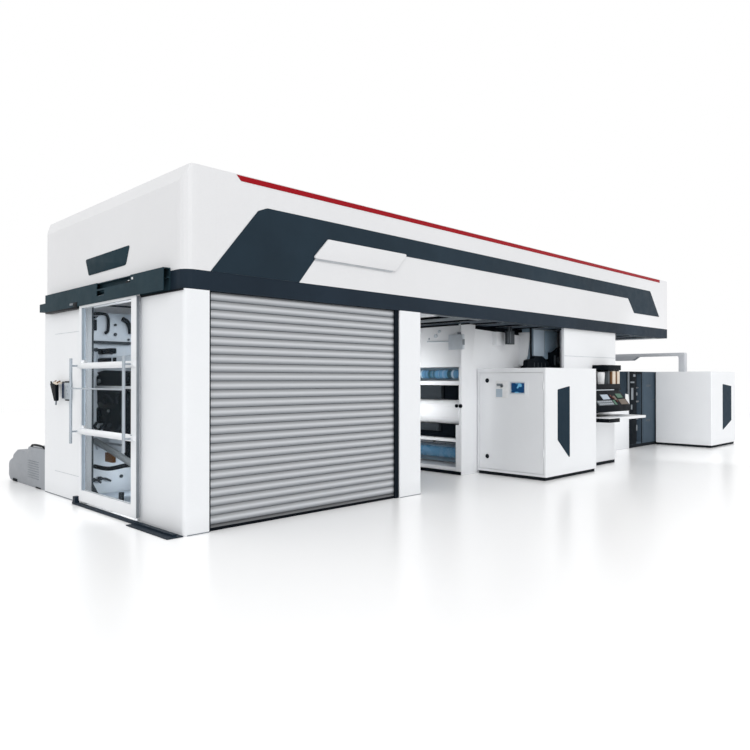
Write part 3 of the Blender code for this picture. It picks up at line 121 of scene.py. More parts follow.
def blendColors(tree, factor, first, second, mode="MIX"):
    inputs = {0: factor, 6: first, 7: second}
    return addNode(tree, "ShaderNodeMix", inputs, data_type="RGBA", blend_type=mode).outputs[2]


def shaded(tree, tone, factor):
    return blendColors(tree, 1.0, tone, factor, "MULTIPLY")


def gray(level):
    return (level, level, level, 1)


def tinted(color, factor):
    return (*[min(channel * factor, 1) for channel in color], 1)


def drift(tree, share, color, less, more):
    return blendColors(tree, share, tinted(color, less), tinted(color, more))


def bumped(tree, height, strength, distance):
    inputs = {"Height": height, "Strength": strength, "Distance": distance}
    return addNode(tree, "ShaderNodeBump", inputs).outputs["Normal"]


# finishes; each names the slot that it belongs to

def isDark(color):
    return sum(color) < 0.5


def paint(slot, color, rough, cloud, gloss=None):
    # dark paint reflects less, unless its own gloss is given
    if gloss is None:
        gloss = 0.12 if isDark(color) else 0.45
    return {"slot": slot, "color": color, "rough": rough, "cloud": cloud, "gloss": gloss}


paintSettings = {
    # the hood's white is the same white paint made darker: painted shade for the dimmer light up on the hood
    "hoodPaint": paint("white_paint", (0.78, 0.785, 0.8), (0.3, 0.42), 0.015),
    "whitePaint": paint("white_paint", (0.872, 0.89, 0.913), (0.3, 0.42), 0.02),
    "slatePaint": paint("slate_paint", (0.014, 0.029, 0.044), (0.42, 0.55), 0.2),
    "inlayPaint": paint("slate_paint", (0.015, 0.032, 0.05), (0.42, 0.55), 0.12, 0.04),
    # dark slate sheets under the bridge ladder: painted shade
    "soffitPaint": paint("slate_paint", (0.055, 0.075, 0.095), (0.5, 0.62), 0.2),
    "bandPaint": paint("slate_paint", (0.014, 0.025, 0.039), (0.42, 0.55), 0.2, 0.1),
    "redPaint": paint("red_trim", (0.32, 0.002, 0.008), (0.35, 0.45), 0.06),
    "blackPaint": paint("black_parts", (0.0035, 0.006, 0.009), (0.42, 0.55), 0.2, 0.04),
    "plaquePaint": paint("slate_paint", (0.012, 0.032, 0.044), (0.45, 0.58), 0.2, 0.04),
    "trackPaint": paint("slate_paint", (0.022, 0.046, 0.06), (0.45, 0.58), 0.2, 0.05),
    "guidePaint": paint("slate_paint", (0.005, 0.009, 0.014), (0.42, 0.55), 0.2, 0.05),
    "framePaint": paint("frame_blue_grey", (0.43, 0.49, 0.55), (0.38, 0.5), 0.06),
    "ductPaint": paint("duct_grey", (0.56, 0.58, 0.61), (0.35, 0.48), 0.05),
    "steelBluePaint": paint("frame_blue_grey", (0.24, 0.33, 0.41), (0.35, 0.48), 0.14),
    "sheetBluePaint": paint("frame_blue_grey", (0.42, 0.5, 0.58), (0.35, 0.48), 0.08),
    "rollBluePaint": paint("film_blue", (0.09, 0.22, 0.36), (0.2, 0.34), 0.16),
    "winderPaint": paint("slate_paint", (0.056, 0.082, 0.11), (0.35, 0.5), 0.14),
    "winderLabel": paint("slate_paint", (0.075, 0.095, 0.115), (0.4, 0.52), 0.1),
    "soffitGray": paint("slate_paint", (0.2, 0.23, 0.25), (0.5, 0.62), 0.15),
    "jambGray": paint("handle_grey", (0.34, 0.37, 0.4), (0.45, 0.55), 0.06),
    "unitPaint": paint("supply_grey", (0.3, 0.32, 0.35), (0.42, 0.56), 0.1),
}

paintGrain = {"cloudScale": 0.55, "speckScale": 55, "dustTop": 0.22, "glossScale": 7, "peelScale": 380,
              "peel": 0.05, "darkPeel": 0.02}


def makePaint(name, s):
    # powder coat: soft clouds of tone, a little dust low down, fine orange peel
    material, tree, shader = startMaterial(name)
    grain = paintGrain
    flat = stretched(tree, (1, 1, 1))
    clouds = ramp(tree, noise(tree, flat, grain["cloudScale"], 4, 0.6), 0, 1)
    tone = drift(tree, clouds, s["color"], 1 - s["cloud"], 1 + s["cloud"])
    tone = shaded(tree, tone, ramp(tree, noise(tree, flat, grain["speckScale"], 2), 0.985, 1.0))
    split = addNode(tree, "ShaderNodeSeparateXYZ", {"Vector": flat})
    tone = shaded(tree, tone, ramp(tree, split.outputs["Z"], 0.93, 1.0, 0.0, grain["dustTop"]))
    peel = noise(tree, flat, grain["peelScale"], 2)
    setInputs(tree, shader, {
        "Base Color": tone,
        "Roughness": ramp(tree, noise(tree, flat, grain["glossScale"], 5, 0.6), *s["rough"]),
        "Specular IOR Level": s["gloss"],
        "Normal": bumped(tree, peel, grain["darkPeel" if isDark(s["color"]) else "peel"], 0.001)})
    return material


def metal(slot, color, metallic, rough, grain):
    return {"slot": slot, "color": color, "metallic": metallic, "rough": rough, "grain": grain}


metalSettings = {
    "rollerSteel": metal("roller_steel", (0.58, 0.6, 0.63), 1.0, (0.18, 0.32), (60, 0.6, 60)),
    "handleMetal": metal("handle_grey", (0.42, 0.47, 0.52), 0.6, (0.25, 0.38), (60, 60, 0.6)),
    "boltSteel": metal("roller_steel", (0.42, 0.43, 0.45), 0.9, (0.25, 0.45), (20, 20, 20)),
    "darkSteel": metal("black_parts", (0.045, 0.055, 0.065), 0.5, (0.35, 0.5), (30, 1, 30)),
}


def makeMetal(name, s):
    # drawn metal: long fine streaks along the grain and faint patches
    material, tree, shader = startMaterial(name)
    streaks = noise(tree, stretched(tree, s["grain"]), 4, 4, 0.65)
    patches = noise(tree, stretched(tree, (1, 1, 1)), 1.6, 4, 0.6)
    tone = drift(tree, ramp(tree, streaks, 0, 1), s["color"], 0.88, 1.08)
    setInputs(tree, shader, {
        "Base Color": shaded(tree, tone, ramp(tree, patches, 0.94, 1.0)),
        "Roughness": ramp(tree, streaks, *s["rough"]),
        "Metallic": s["metallic"],
        "Normal": bumped(tree, streaks, 0.06, 0.002)})
    return material


def plastic(slot, color, rough, grit=0.05):
    return {"slot": slot, "color": color, "rough": rough, "grit": grit}


plasticSettings = {
    "blackPlastic": plastic("black_parts", (0.0035, 0.0055, 0.0085), (0.35, 0.5)),
    "rubberBlack": plastic("black_parts", (0.012, 0.015, 0.019), (0.65, 0.8), 0.04),
    "navyPlastic": plastic("black_parts", (0.01, 0.02, 0.055), (0.45, 0.6)),
    "sealBlue": plastic("handle_grey", (0.27, 0.33, 0.39), (0.55, 0.7)),
    "jointShade": plastic("handle_grey", (0.62, 0.65, 0.68), (0.6, 0.7)),
    "keyGray": plastic("handle_grey", (0.085, 0.1, 0.11), (0.45, 0.55)),
    "paperBrown": plastic("handle_grey", (0.17, 0.14, 0.115), (0.6, 0.7)),
    "rustPlastic": plastic("red_trim", (0.12, 0.035, 0.03), (0.45, 0.55)),
    "gasketGray": plastic("handle_grey", (0.21, 0.235, 0.26), (0.55, 0.7)),
    "seamShade": plastic("handle_grey", (0.5, 0.53, 0.56), (0.6, 0.7)),
    "creamBoard": plastic("white_paint", (0.74, 0.66, 0.56), (0.6, 0.75), 0.15),
    "whiteBoard": plastic("white_paint", (0.84, 0.85, 0.86), (0.5, 0.65), 0.1),
    "brownBoard": plastic("black_parts", (0.16, 0.07, 0.022), (0.45, 0.6), 0.15),
    "greenPlastic": plastic("black_parts", (0.045, 0.135, 0.085), (0.35, 0.45)),
    "bezelGray": plastic("duct_grey", (0.6, 0.65, 0.7), (0.35, 0.45)),
    "paleKeys": plastic("handle_grey", (0.36, 0.4, 0.44), (0.4, 0.5)),
}


def makePlastic(name, s):
    # moulded surface: fine grit and a slow drift of tone
    material, tree, shader = startMaterial(name)
    flat = stretched(tree, (1, 1, 1))
    share = ramp(tree, noise(tree, flat, 6, 4, 0.6), 0, 1)
    setInputs(tree, shader, {
        "Base Color": drift(tree, share, s["color"], 0.9, 1.08),
        "Roughness": ramp(tree, noise(tree, flat, 90, 3), *s["rough"]),
        "Specular IOR Level": 0.05 if sum(s["color"]) < 0.1 else 0.3,
        "Normal": bumped(tree, noise(tree, flat, 620, 2), s["grit"], 0.0006)})
    return material


glassSettings = {"slot": "door_glass", "color": (0.3, 0.42, 0.5, 1), "cover": 0.012, "rough": (0.02, 0.05)}


def makeGlass(name, s):
    # thin pane: nearly clear, a faint gray-blue cast, wiped haze in its gloss
    material, tree, shader = startMaterial(name)
    haze = noise(tree, stretched(tree, (1, 1, 1)), 3, 4)
    setInputs(tree, shader, {
        "Roughness": ramp(tree, haze, *s["rough"]), "Base Color": s["color"], "Alpha": s["cover"]})
    return material


screenSettings = {"slot": "door_glass", "field": (0.012, 0.105, 0.27, 1), "line": (0.006, 0.045, 0.13, 1),
                  "patch": (0.12, 0.34, 0.52, 1), "glow": 0.35, "cells": (1, 24, 30), "windows": (1, 9, 11)}


def makeScreen(name, s):
    # lit display: blue field with a fine grid and a few paler windows
    material, tree, shader = startMaterial(name)
    inputs = {"Vector": stretched(tree, s["cells"]), "Scale": 1.0, "Randomness": 0.0}
    cells = addNode(tree, "ShaderNodeTexVoronoi", inputs, distance="CHEBYCHEV")
    tone = blendColors(tree, ramp(tree, cells.outputs["Distance"], 0, 1, 0.4, 0.46), s["field"], s["line"])
    patch = ramp(tree, noise(tree, stretched(tree, s["windows"]), 1, 1), 0, 1, 0.52, 0.58)
    tone = blendColors(tree, patch, tone, s["patch"])
    setInputs(tree, shader, {
        "Base Color": tone, "Emission Color": tone, "Emission Strength": s["glow"], "Roughness": 0.18})
    return material


filmSettings = {"slot": "film_blue", "deep": (0.02, 0.065, 0.085, 1), "sky": (0.09, 0.22, 0.37, 1),
                "pale": (0.36, 0.48, 0.58, 1), "fieldScale": 2.6, "stripeScale": 9}


def makeFilm(name, s):
    # printed film on a roller: blue fields and pale lines that run round it
    material, tree, shader = startMaterial(name)
    along = stretched(tree, (0, 1, 0))
    bands = noise(tree, along, s["fieldScale"], 2, 0.7)
    tone = blendColors(tree, ramp(tree, bands, 0, 1, 0.44, 0.5), s["deep"], s["sky"])
    lines = ramp(tree, noise(tree, along, s["stripeScale"], 1), 0, 1, 0.58, 0.62)
    wrinkles = noise(tree, stretched(tree, (3, 14, 3)), 5, 3)
    setInputs(tree, shader, {
        "Base Color": blendColors(tree, lines, tone, s["pale"]),
        "Roughness": ramp(tree, bands, 0.16, 0.3),
        "Coat Weight": 0.4,
        "Coat Roughness": 0.08,
        "Normal": bumped(tree, wrinkles, 0.08, 0.003)})
    return material


drumSettings = {"slot": "roller_steel", "bare": (0.42, 0.45, 0.48, 1), "print": (0.16, 0.28, 0.4, 1)}


def makeDrum(name, s):
    # ground steel drum with the printed web round most of it
    material, tree, shader = startMaterial(name)
    patch = ramp(tree, noise(tree, stretched(tree, (1.2, 3.0, 1.2)), 1.3, 2), 0, 1, 0.47, 0.53)
    streaks = noise(tree, stretched(tree, (40, 0.6, 40)), 4, 3)
    setInputs(tree, shader, {
        "Base Color": blendColors(tree, patch, s["bare"], s["print"]),
        "Roughness": ramp(tree, patch, 0.16, 0.3, 0, 1),
        "Metallic": 0.6,
        "Normal": bumped(tree, streaks, 0.05, 0.002)})
    return material


# the light tone is a painted highlight on each slat; the dark tone, and the darkening toward the joint
# above, are painted shade
slatTone = {"slot": "shutter_grey", "pitch": 0.1017, "start": 0.07, "barEdge": 0.004,
            "light": (0.63, 0.65, 0.68, 1), "dark": (0.27, 0.29, 0.315, 1), "fall": 0.46, "bar": 0.4,
            "rough": (0.3, 0.42)}


def makeSlats(name, s):
    # slats: painted shade toward each joint and a painted highlight on the rolled face between; below the
    # first joint the bottom bar is darker
    material, tree, shader = startMaterial(name)
    split = addNode(tree, "ShaderNodeSeparateXYZ", {"Vector": stretched(tree, (1, 1, 1))})
    height = split.outputs["Z"]
    start, pitch, edge = s["start"], s["pitch"], s["barEdge"]
    moved = addNode(tree, "ShaderNodeMath", {0: height, 1: start}, operation="SUBTRACT")
    turn = addNode(tree, "ShaderNodeMath", {0: moved.outputs[0], 1: pitch, 2: 0.0}, operation="WRAP")
    share = ramp(tree, turn.outputs[0], 0, 1, 0, pitch)
    # painted shade at the joint below rises to the painted highlight, then painted shade darkens toward the
    # next joint
    tone = blendColors(tree, ramp(tree, share, 0, 1, 0.08, 0.56, "SMOOTHSTEP"), s["dark"], s["light"])
    tone = shaded(tree, tone, ramp(tree, share, 1.0, s["fall"], 0.5, 0.9, "SMOOTHSTEP"))
    tone = shaded(tree, tone, ramp(tree, height, s["bar"], 1.0, start - edge, start + edge))
    streaks = noise(tree, stretched(tree, (0.5, 60, 60)), 4, 4, 0.65)
    setInputs(tree, shader, {
        "Base Color": shaded(tree, tone, ramp(tree, streaks, 0.93, 1.0)),
        "Roughness": ramp(tree, streaks, *s["rough"]),
        "Metallic": 0.25,
        "Normal": bumped(tree, streaks, 0.05, 0.001)})
    return material


finishes, finishSlots = {}, {}


def keepFinish(name, make, settings):
    finishes[name] = make(name, settings)
    finishSlots[name] = settings["slot"]


for make, table in ((makePaint, paintSettings), (makeMetal, metalSettings), (makePlastic, plasticSettings)):
    for finishName, finishValues in table.items():
        keepFinish(finishName, make, finishValues)
keepFinish("doorGlass", makeGlass, glassSettings)
keepFinish("screenBlue", makeScreen, screenSettings)
keepFinish("filmBlue", makeFilm, filmSettings)
keepFinish("drumFace", makeDrum, drumSettings)
keepFinish("slatMetal", makeSlats, slatTone)
print("finishes made:", len(finishes))


# finish of each CAD node that stays as it is

nodeFinish = {
    "hoodPaint": ("hood_left_end", "hood_right_end", "hood_front_panel", "hood_rear_panel", "hood_roof",
                  "name_plate"),
    "whitePaint": ("bridge_ladder", "corner_front", "corner_rear", "pillar_front", "pillar_rear",
                   "door_leaf", "web_frame_front", "web_frame_rear", "web_covers", "cabinet_middle",
                   "cabinet_door", "cabinet_right", "console_column", "console_desk", "low_housing"),
    "slatePaint": ("graphic_front", "graphic_rear"),
    "guidePaint": ("shutter_guide_front", "shutter_guide_rear"),
    "inlayPaint": ("cabinet_middle_inlay", "cabinet_right_inlay"),
    "winderPaint": ("winder",),
    "bandPaint": ("band_front", "band_rear", "band_right", "floor_rail"),
    "trackPaint": ("door_track",),
    "redPaint": ("stripe_front",),
    "slatMetal": ("shutter_front", "shutter_rear"),
    "handleMetal": ("door_handles", "control_box"),
    "doorGlass": ("door_glass",),
    "framePaint": ("side_frame_front", "side_frame_rear", *["print_deck_%d" % n for n in range(5, 9)]),
    "blackPaint": ("tool_holder", "console_booth", "console_panel", "blower_housing", "drying_tunnel",
                   *["print_deck_%d" % n for n in range(1, 5)]),
    "ductPaint": ("cable_duct",),
    "steelBluePaint": ("supply_duct",),
    "unitPaint": ("supply_unit",),
    "drumFace": ("impression_drum",),
    "filmBlue": ("web_roller_upper",),
    "rollBluePaint": ("web_roller_lower",),
}

for finishName, nodeNames in nodeFinish.items():
    for nodeName in nodeNames:
        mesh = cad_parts[nodeName].data
        mesh.materials.clear()
        mesh.materials.append(finishes[finishName])
print("CAD nodes finished")


# mesh helpers; every shape is given in metres from the press's corner

bevel = {"segments": 2, "profile": 0.6, "affect": "EDGES"}


def addBox(bm, low, high, edge=0.002):
    made = bmesh.ops.create_cube(bm, size=1.0)["verts"]
    for vert in made:
        vert.co = Vector([low[i] + (vert.co[i] + 0.5) * (high[i] - low[i]) for i in range(3)])
    thin = min(high[i] - low[i] for i in range(3))
    rims = list(dict.fromkeys(rim for vert in made for rim in vert.link_edges))
    bmesh.ops.bevel(bm, geom=rims, offset=min(edge, thin * 0.3), **bevel)


def addTurned(bm, start, end, profile, sides=24):
    # profile holds (distance from the start, radius); each end is closed
    turn = (Vector(end) - Vector(start)).to_track_quat("Z", "Y")
    rings = []
    for along, radius in profile:
        ring = []
        for step in range(sides):
            angle = 2 * math.pi * step / sides
            spot = Vector((radius * math.cos(angle), radius * math.sin(angle), along))
            ring.append(bm.verts.new(Vector(start) + turn @ spot))
        rings.append(ring)
    joinRings(bm, rings)


def joinRings(bm, rings):
    sides = len(rings[0])
    for lower, upper in zip(rings, rings[1:]):
        for step in range(sides):
            after = (step + 1) % sides
            bm.faces.new((lower[step], lower[after], upper[after], upper[step]))
    bm.faces.new(list(reversed(rings[0])))
    bm.faces.new(rings[-1])


def addRod(bm, start, end, radius, edge=0.002, sides=20):
    length = (Vector(end) - Vector(start)).length
    edge = min(edge, radius * 0.4, length * 0.4)
    addTurned(bm, start, end, ((0, radius - edge), (edge, radius), (length - edge, radius),
                               (length, radius - edge)), sides)


def smoothPath(points, steps):
    # Catmull-Rom curve through the points
    points = [Vector(point) for point in points]
    path = []
    for index in range(len(points) - 1):
        before, start = points[max(index - 1, 0)], points[index]
        end, after = points[index + 1], points[min(index + 2, len(points) - 1)]
        for step in range(steps):
            t = step / steps
            bend = 2 * before - 5 * start + 4 * end - after
            twist = 3 * start - before - 3 * end + after
            path.append(0.5 * (2 * start + (end - before) * t + bend * t * t + twist * t ** 3))
    path.append(points[-1])
    return path


def addPipe(bm, points, radius, sides=12, steps=6):
    path = smoothPath(points, steps)
    side = None
    rings = []
    for index, spot in enumerate(path):
        ahead = path[min(index + 1, len(path) - 1)] - path[max(index - 1, 0)]
        ahead.normalize()
        if side is None:
            side = ahead.orthogonal().normalized()
        side = (side - ahead * side.dot(ahead)).normalized()
        other = ahead.cross(side)
        rings.append([bm.verts.new(spot + radius * (math.cos(angle) * side + math.sin(angle) * other))
                      for angle in [2 * math.pi * step / sides for step in range(sides)]])
    joinRings(bm, rings)


planeAxes = {"XY": (0, 1, 2), "XZ": (0, 2, 1), "YZ": (1, 2, 0)}


def addPlate(bm, plane, outline, low, high, edge=0.0):
    first, second, third = planeAxes[plane]
    rows = []
    for level in (low, high):
        row = []
        for a, b in outline:
            spot = [0, 0, 0]
            spot[first], spot[second], spot[third] = a, b, level
            row.append(bm.verts.new(spot))
        rows.append(row)
    faces = [bm.faces.new(rows[0]), bm.faces.new(rows[1])]
    count = len(outline)
    for step in range(count):
        after = (step + 1) % count
        bm.faces.new((rows[0][step], rows[0][after], rows[1][after], rows[1][step]))
    if edge:
        rims = list(dict.fromkeys(rim for face in faces for rim in face.edges))
        bmesh.ops.bevel(bm, geom=rims, offset=edge, **bevel)


def roundedCorners(corners, steps=5):
    # corners are (a, b) or (a, b, radius)
    outline = []
    count = len(corners)
    for index, corner in enumerate(corners):
        spot = Vector(corner[:2])
        if len(corner) < 3:
            outline.append(spot)
            continue
        before = (Vector(corners[index - 1][:2]) - spot).normalized()
        after = (Vector(corners[(index + 1) % count][:2]) - spot).normalized()
        half = before.angle(after) / 2
        reach = corner[2] / math.tan(half)
        middle = spot + (before + after).normalized() * corner[2] / math.sin(half)
        start, end = spot + before * reach - middle, spot + after * reach - middle
        turn = start.angle_signed(end)
        for step in range(steps + 1):
            arm = start.copy()
            arm.rotate(Matrix.Rotation(-turn * step / steps, 2))
            outline.append(middle + arm)
    return outline


def keepPiece(name, mesh, finish, body, replaced):
    piece = bpy.data.objects.new(name, mesh)
    bpy.context.collection.objects.link(piece)
    mesh.materials.clear()
    mesh.materials.append(finishes[finish])
    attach(piece, body)
    if replaced:
        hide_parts(replaced)


def built(name, finish, steps, body="press", replaced=None, sharp=35):
    # each step is one of the functions above with its values
    bm = bmesh.new()
    for add, *values in steps:
        add(bm, *values)
    bmesh.ops.recalc_face_normals(bm, faces=bm.faces)
    mesh = bpy.data.meshes.new(name)
    bm.to_mesh(mesh)
    bm.free()
    mesh.transform(Matrix.Translation(at(0, 0, 0)))
    mesh.shade_smooth()
    mesh.set_sharp_from_angle(angle=math.radians(sharp))
    keepPiece(name, mesh, finish, body, replaced)


def boxes(name, finish, spans, body="press", edge=0.002):
    built(name, finish, [(addBox, *span, edge) for span in spans], body)


def rods(name, finish, spans, body="press", edge=0.002):
    built(name, finish, [(addRod, *span, edge) for span in spans], body)


def pipes(name, finish, runs, body="press"):
    built(name, finish, [(addPipe, *run) for run in runs], body, sharp=50)


def softened(nodeName, finish, edge):
    # copy of a CAD node with rounded sheet-metal edges, shown in its place
    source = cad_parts[nodeName]
    bm = bmesh.new()
    bm.from_mesh(source.data)
    bmesh.ops.remove_doubles(bm, verts=bm.verts, dist=0.00005)
    bmesh.ops.dissolve_limit(bm, angle_limit=math.radians(1), verts=bm.verts, edges=bm.edges)
    mesh = bpy.data.meshes.new(nodeName + "_soft")
    bm.to_mesh(mesh)
    bm.free()
    draft = bpy.data.objects.new(nodeName + "_draft", mesh)
    bpy.context.collection.objects.link(draft)
    rounding = draft.modifiers.new("rounding", "BEVEL")
    rounding.width = edge
    rounding.segments = 2
    rounding.limit_method = "ANGLE"
    rounding.angle_limit = math.radians(40)
    rounding.miter_outer = "MITER_ARC"
    bpy.context.view_layer.update()
    made = bpy.data.meshes.new_from_object(draft.evaluated_get(bpy.context.evaluated_depsgraph_get()))
    bpy.data.objects.remove(draft)
    made.shade_smooth()
    made.set_sharp_from_angle(angle=math.radians(30))
    keepPiece(nodeName + "_soft", made, finish, "press", nodeName)


def spaced(start, pitch, count):
    return [start + step * pitch for step in range(count)]


# hood: bare plaque on the end, a gray strip of painted shadow under the name plate, roof joints, and a black
# liner, black linings and dark soffit sheets as painted shade under the hood

hoodSettings = {
    "plaque": ((2.67, 3.354, 0.02), (2.56, 3.127, 0.03), (1.43, 3.137, 0.05), (1.321, 3.37, 0.02)),
    "plaqueThick": 0.007,
    "shadowHigh": 0.016,
    "roofJoints": 9,
    "jointSpan": (0.9, 11.7),
    "jointWide": 0.01,
    "linerHigh": 2.902,
    "linerStart": 3.55,
    "linerRibs": (0.3, 0.76, 12),  # first rib after the start, pitch, count
    "bays": 11,
    "bayStart": 4.55,
    "bayPitch": 0.74,
    "bayLong": 0.34,
    "soffitStart": 5.55,
    "soffit": (2.7125, 2.7156),
    "lining": (2.718, 2.894),
    "jointHeights": (4.1085, 4.1125),
}


def makeHoodTrim(s):
    built("end_plaque", "plaquePaint", [
        (addPlate, "YZ", roundedCorners(s["plaque"]), -s["plaqueThick"], -0.0006, 0.002)])
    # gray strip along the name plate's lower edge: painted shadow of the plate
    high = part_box("name_plate")[0].z - 0.0006
    low = high + 0.0006 - s["shadowHigh"]
    built("name_plate_shadow", "seamShade", [
        (addPlate, "XZ", [(1.836, low), (3.262, low), (3.285, high), (1.846, high)], -0.02, -0.0048)])
    joints = []
    (first, last), (low, high) = s["jointSpan"], s["jointHeights"]
    for step in range(s["roofJoints"] + 1):
        x = first + step * (last - first) / s["roofJoints"]
        joints.append(((x, 0.35, low), (x + s["jointWide"], 3.92, high)))
    boxes("roof_joints", "seamShade", joints, edge=0.001)
    # black plate with ribs above the bridge ladder: painted shade seen through the gaps between its beams
    start, height = s["linerStart"], s["linerHigh"]
    first, pitch, count = s["linerRibs"]
    liner = [((start, 0.09, height), (12.94, 4.17, height + 0.01))]
    for x in spaced(start + first, pitch, count):
        liner.append(((x, 0.12, height + 0.01), (x + 0.04, 4.14, height + 0.05)))
    boxes("hood_shade_liner", "blackPaint", liner)
    # black sheets on the faces of the open bays that look to the end wall and to the front, painted shade;
    # dark sheets under the ladder, lighter ones near the end wall, painted shade too
    start, low, high = s["soffitStart"], *s["soffit"]
    foot, top = s["lining"]
    linings = []
    soffit = [((start, 0.082, low), (12.953, 0.179, high))]
    near = [((4.4, 0.082, low), (start - 0.002, 0.179, high))]
    for begin in spaced(s["bayStart"], s["bayPitch"], s["bays"]):
        end = begin + s["bayLong"]
        linings += [((end - 0.004, 0.181, foot), (end - 0.0006, 4.079, top)),
                    ((end - s["bayLong"] + 0.002, 4.076, foot), (end - 0.005, 4.0794, top))]
        after = end + s["bayPitch"] - s["bayLong"]
        (soffit if end > start else near).append(((end + 0.001, 0.1795, low), (after - 0.001, 4.08, high)))
    boxes("bay_shade_linings", "blackPaint", linings, edge=0.0005)
    boxes("soffit_shade_sheets", "soffitPaint", soffit, edge=0.0005)
    boxes("soffit_shade_near", "soffitGray", near, edge=0.0005)


makeHoodTrim(hoodSettings)
print("hood trim made")


# end wall: panel joints, a gray sheet of painted shade and a dark seal at the jamb, seals and strips of
# painted shadow at the foot, button box and tool holder

wallSettings = {
    "jointHeights": (2.383, 0.357),
    "jointThick": 0.0015,
    "jointHigh": 0.009,
    "jointSpan": (2.86, 3.8),
}


def makeEndWall(s):
    front, rear = s["jointSpan"]
    boxes("wall_joints", "jointShade", [
        ((-s["jointThick"], front, height), (-0.0005, rear, height + s["jointHigh"]))
        for height in s["jointHeights"]], edge=0.0005)
    # gray sheet on the jamb's face: painted shade
    boxes("jamb_shade_sheet", "jambGray", [((0.001, 2.6475, 0.012), (0.0735, 2.6495, 2.712))], edge=0.0005)
    boxes("jamb_seal", "darkSteel", [((0.074, 2.6455, 0.012), (0.0995, 2.6495, 2.712))], edge=0.001)


makeEndWall(wallSettings)


def makeBaseSeals():
    # thin dark seals where the shutters meet the floor, and thin gray strips of painted shadow where the
    # corners meet it
    boxes("shutter_seals", "blackPlastic", [
        ((0.335, 0.0435, 0.0008), (3.38, 0.0495, 0.034)), ((0.335, 4.2145, 0.0008), (3.38, 4.2205, 0.034))])
    # gray strips at the foot of the corners: painted shadow
    boxes("corner_base_shadows", "gasketGray", [
        ((0.045, -0.0022, 0.0008), (0.316, -0.0004, 0.011)),
        ((-0.0022, 0.045, 0.0008), (-0.0004, 0.3, 0.011)),
        ((3.452, -0.0022, 0.0008), (3.905, -0.0004, 0.009)),
        ((-0.0022, 2.9, 0.0008), (-0.0004, 4.2, 0.012))], edge=0.0004)


makeBaseSeals()


def makeButtonBox():
    softened("control_box", "handleMetal", 0.004)
    boxes("button_box_caps", "blackPlastic", [
        ((-0.046, 3.15, 1.6705), (-0.01, 3.3, 1.69)), ((-0.046, 3.16, 1.412), (-0.01, 3.29, 1.4295)),
        ((-0.046, 3.305, 1.6705), (-0.014, 3.4, 1.684))], edge=0.006)
    boxes("button_box_side", "navyPlastic", [((-0.042, 3.3305, 1.44), (-0.002, 3.425, 1.6695))], edge=0.006)
    places = (3.19, 1.615), (3.23, 1.56), (3.19, 1.505)
    rods("button_box_keys", "paleKeys", [((-0.0495, y, z), (-0.058, y, z), 0.013) for y, z in places])


def makeToolHolder():
    built("tool_holder_body", "blackPlastic", [
        (addPlate, "YZ", roundedCorners(((3.718, 1.668, 0.008), (3.67, 1.648), (3.6, 1.66),
            (3.488, 1.64, 0.008), (3.482, 1.43, 0.012), (3.497, 1.404, 0.01), (3.545, 1.404, 0.01),
            (3.59, 1.48))), -0.108, -0.062, 0.003),
        (addBox, (-0.0625, 3.684, 1.598), (-0.0008, 3.714, 1.64), 0.003)], replaced="tool_holder")
    pipes("holder_grips", "blackPlastic", [
        (((-0.088, 3.66, 1.58), (-0.09, 3.68, 1.65), (-0.092, 3.708, 1.682)), 0.012),
        (((-0.08, 3.61, 1.58), (-0.082, 3.62, 1.655), (-0.084, 3.635, 1.68)), 0.01)])
    boxes("holder_cloth", "creamBoard", [
        ((-0.104, 3.49, 1.612), (-0.066, 3.6, 1.682)),
        ((-0.076, 3.415, 1.655), (-0.034, 3.52, 1.676))], edge=0.01)
    pipes("holder_brush", "brownBoard", [
        (((-0.085, 3.54, 1.6), (-0.08, 3.5, 1.665), (-0.07, 3.42, 1.69)), 0.01),
        (((-0.085, 3.6, 1.62), (-0.088, 3.57, 1.68), (-0.086, 3.52, 1.698)), 0.008)])
    rods("holder_stub", "gasketGray", [((-0.086, 3.517, 1.405), (-0.086, 3.527, 1.345), 0.012)])


makeButtonBox()
makeToolHolder()
print("end wall made")


# sliding door: seals of the leaf and the panes, blue-gray bands at the panes' rear as painted shade of the
# jamb behind the glass, bosses of the handles, covers of the hangers

doorSettings = {
    "paneLow": (0.211, 1.091, 1.981),
    "paneHigh": (1.009, 1.899, 2.689),
    "paneFront": 1.136,
    "paneRear": 2.652,
    "sealWide": 0.012,
    "sealDepth": (-0.058, -0.0396),
    "bossHeights": (1.03, 1.885),
    "bossPlace": 1.112,
    "boss": ((0, 0.022), (0.004, 0.024), (0.01, 0.024), (0.018, 0.018)),
    "bandStart": 2.573,
    "hangers": ((1.1985, 1.3215), (2.3985, 2.5215)),
}


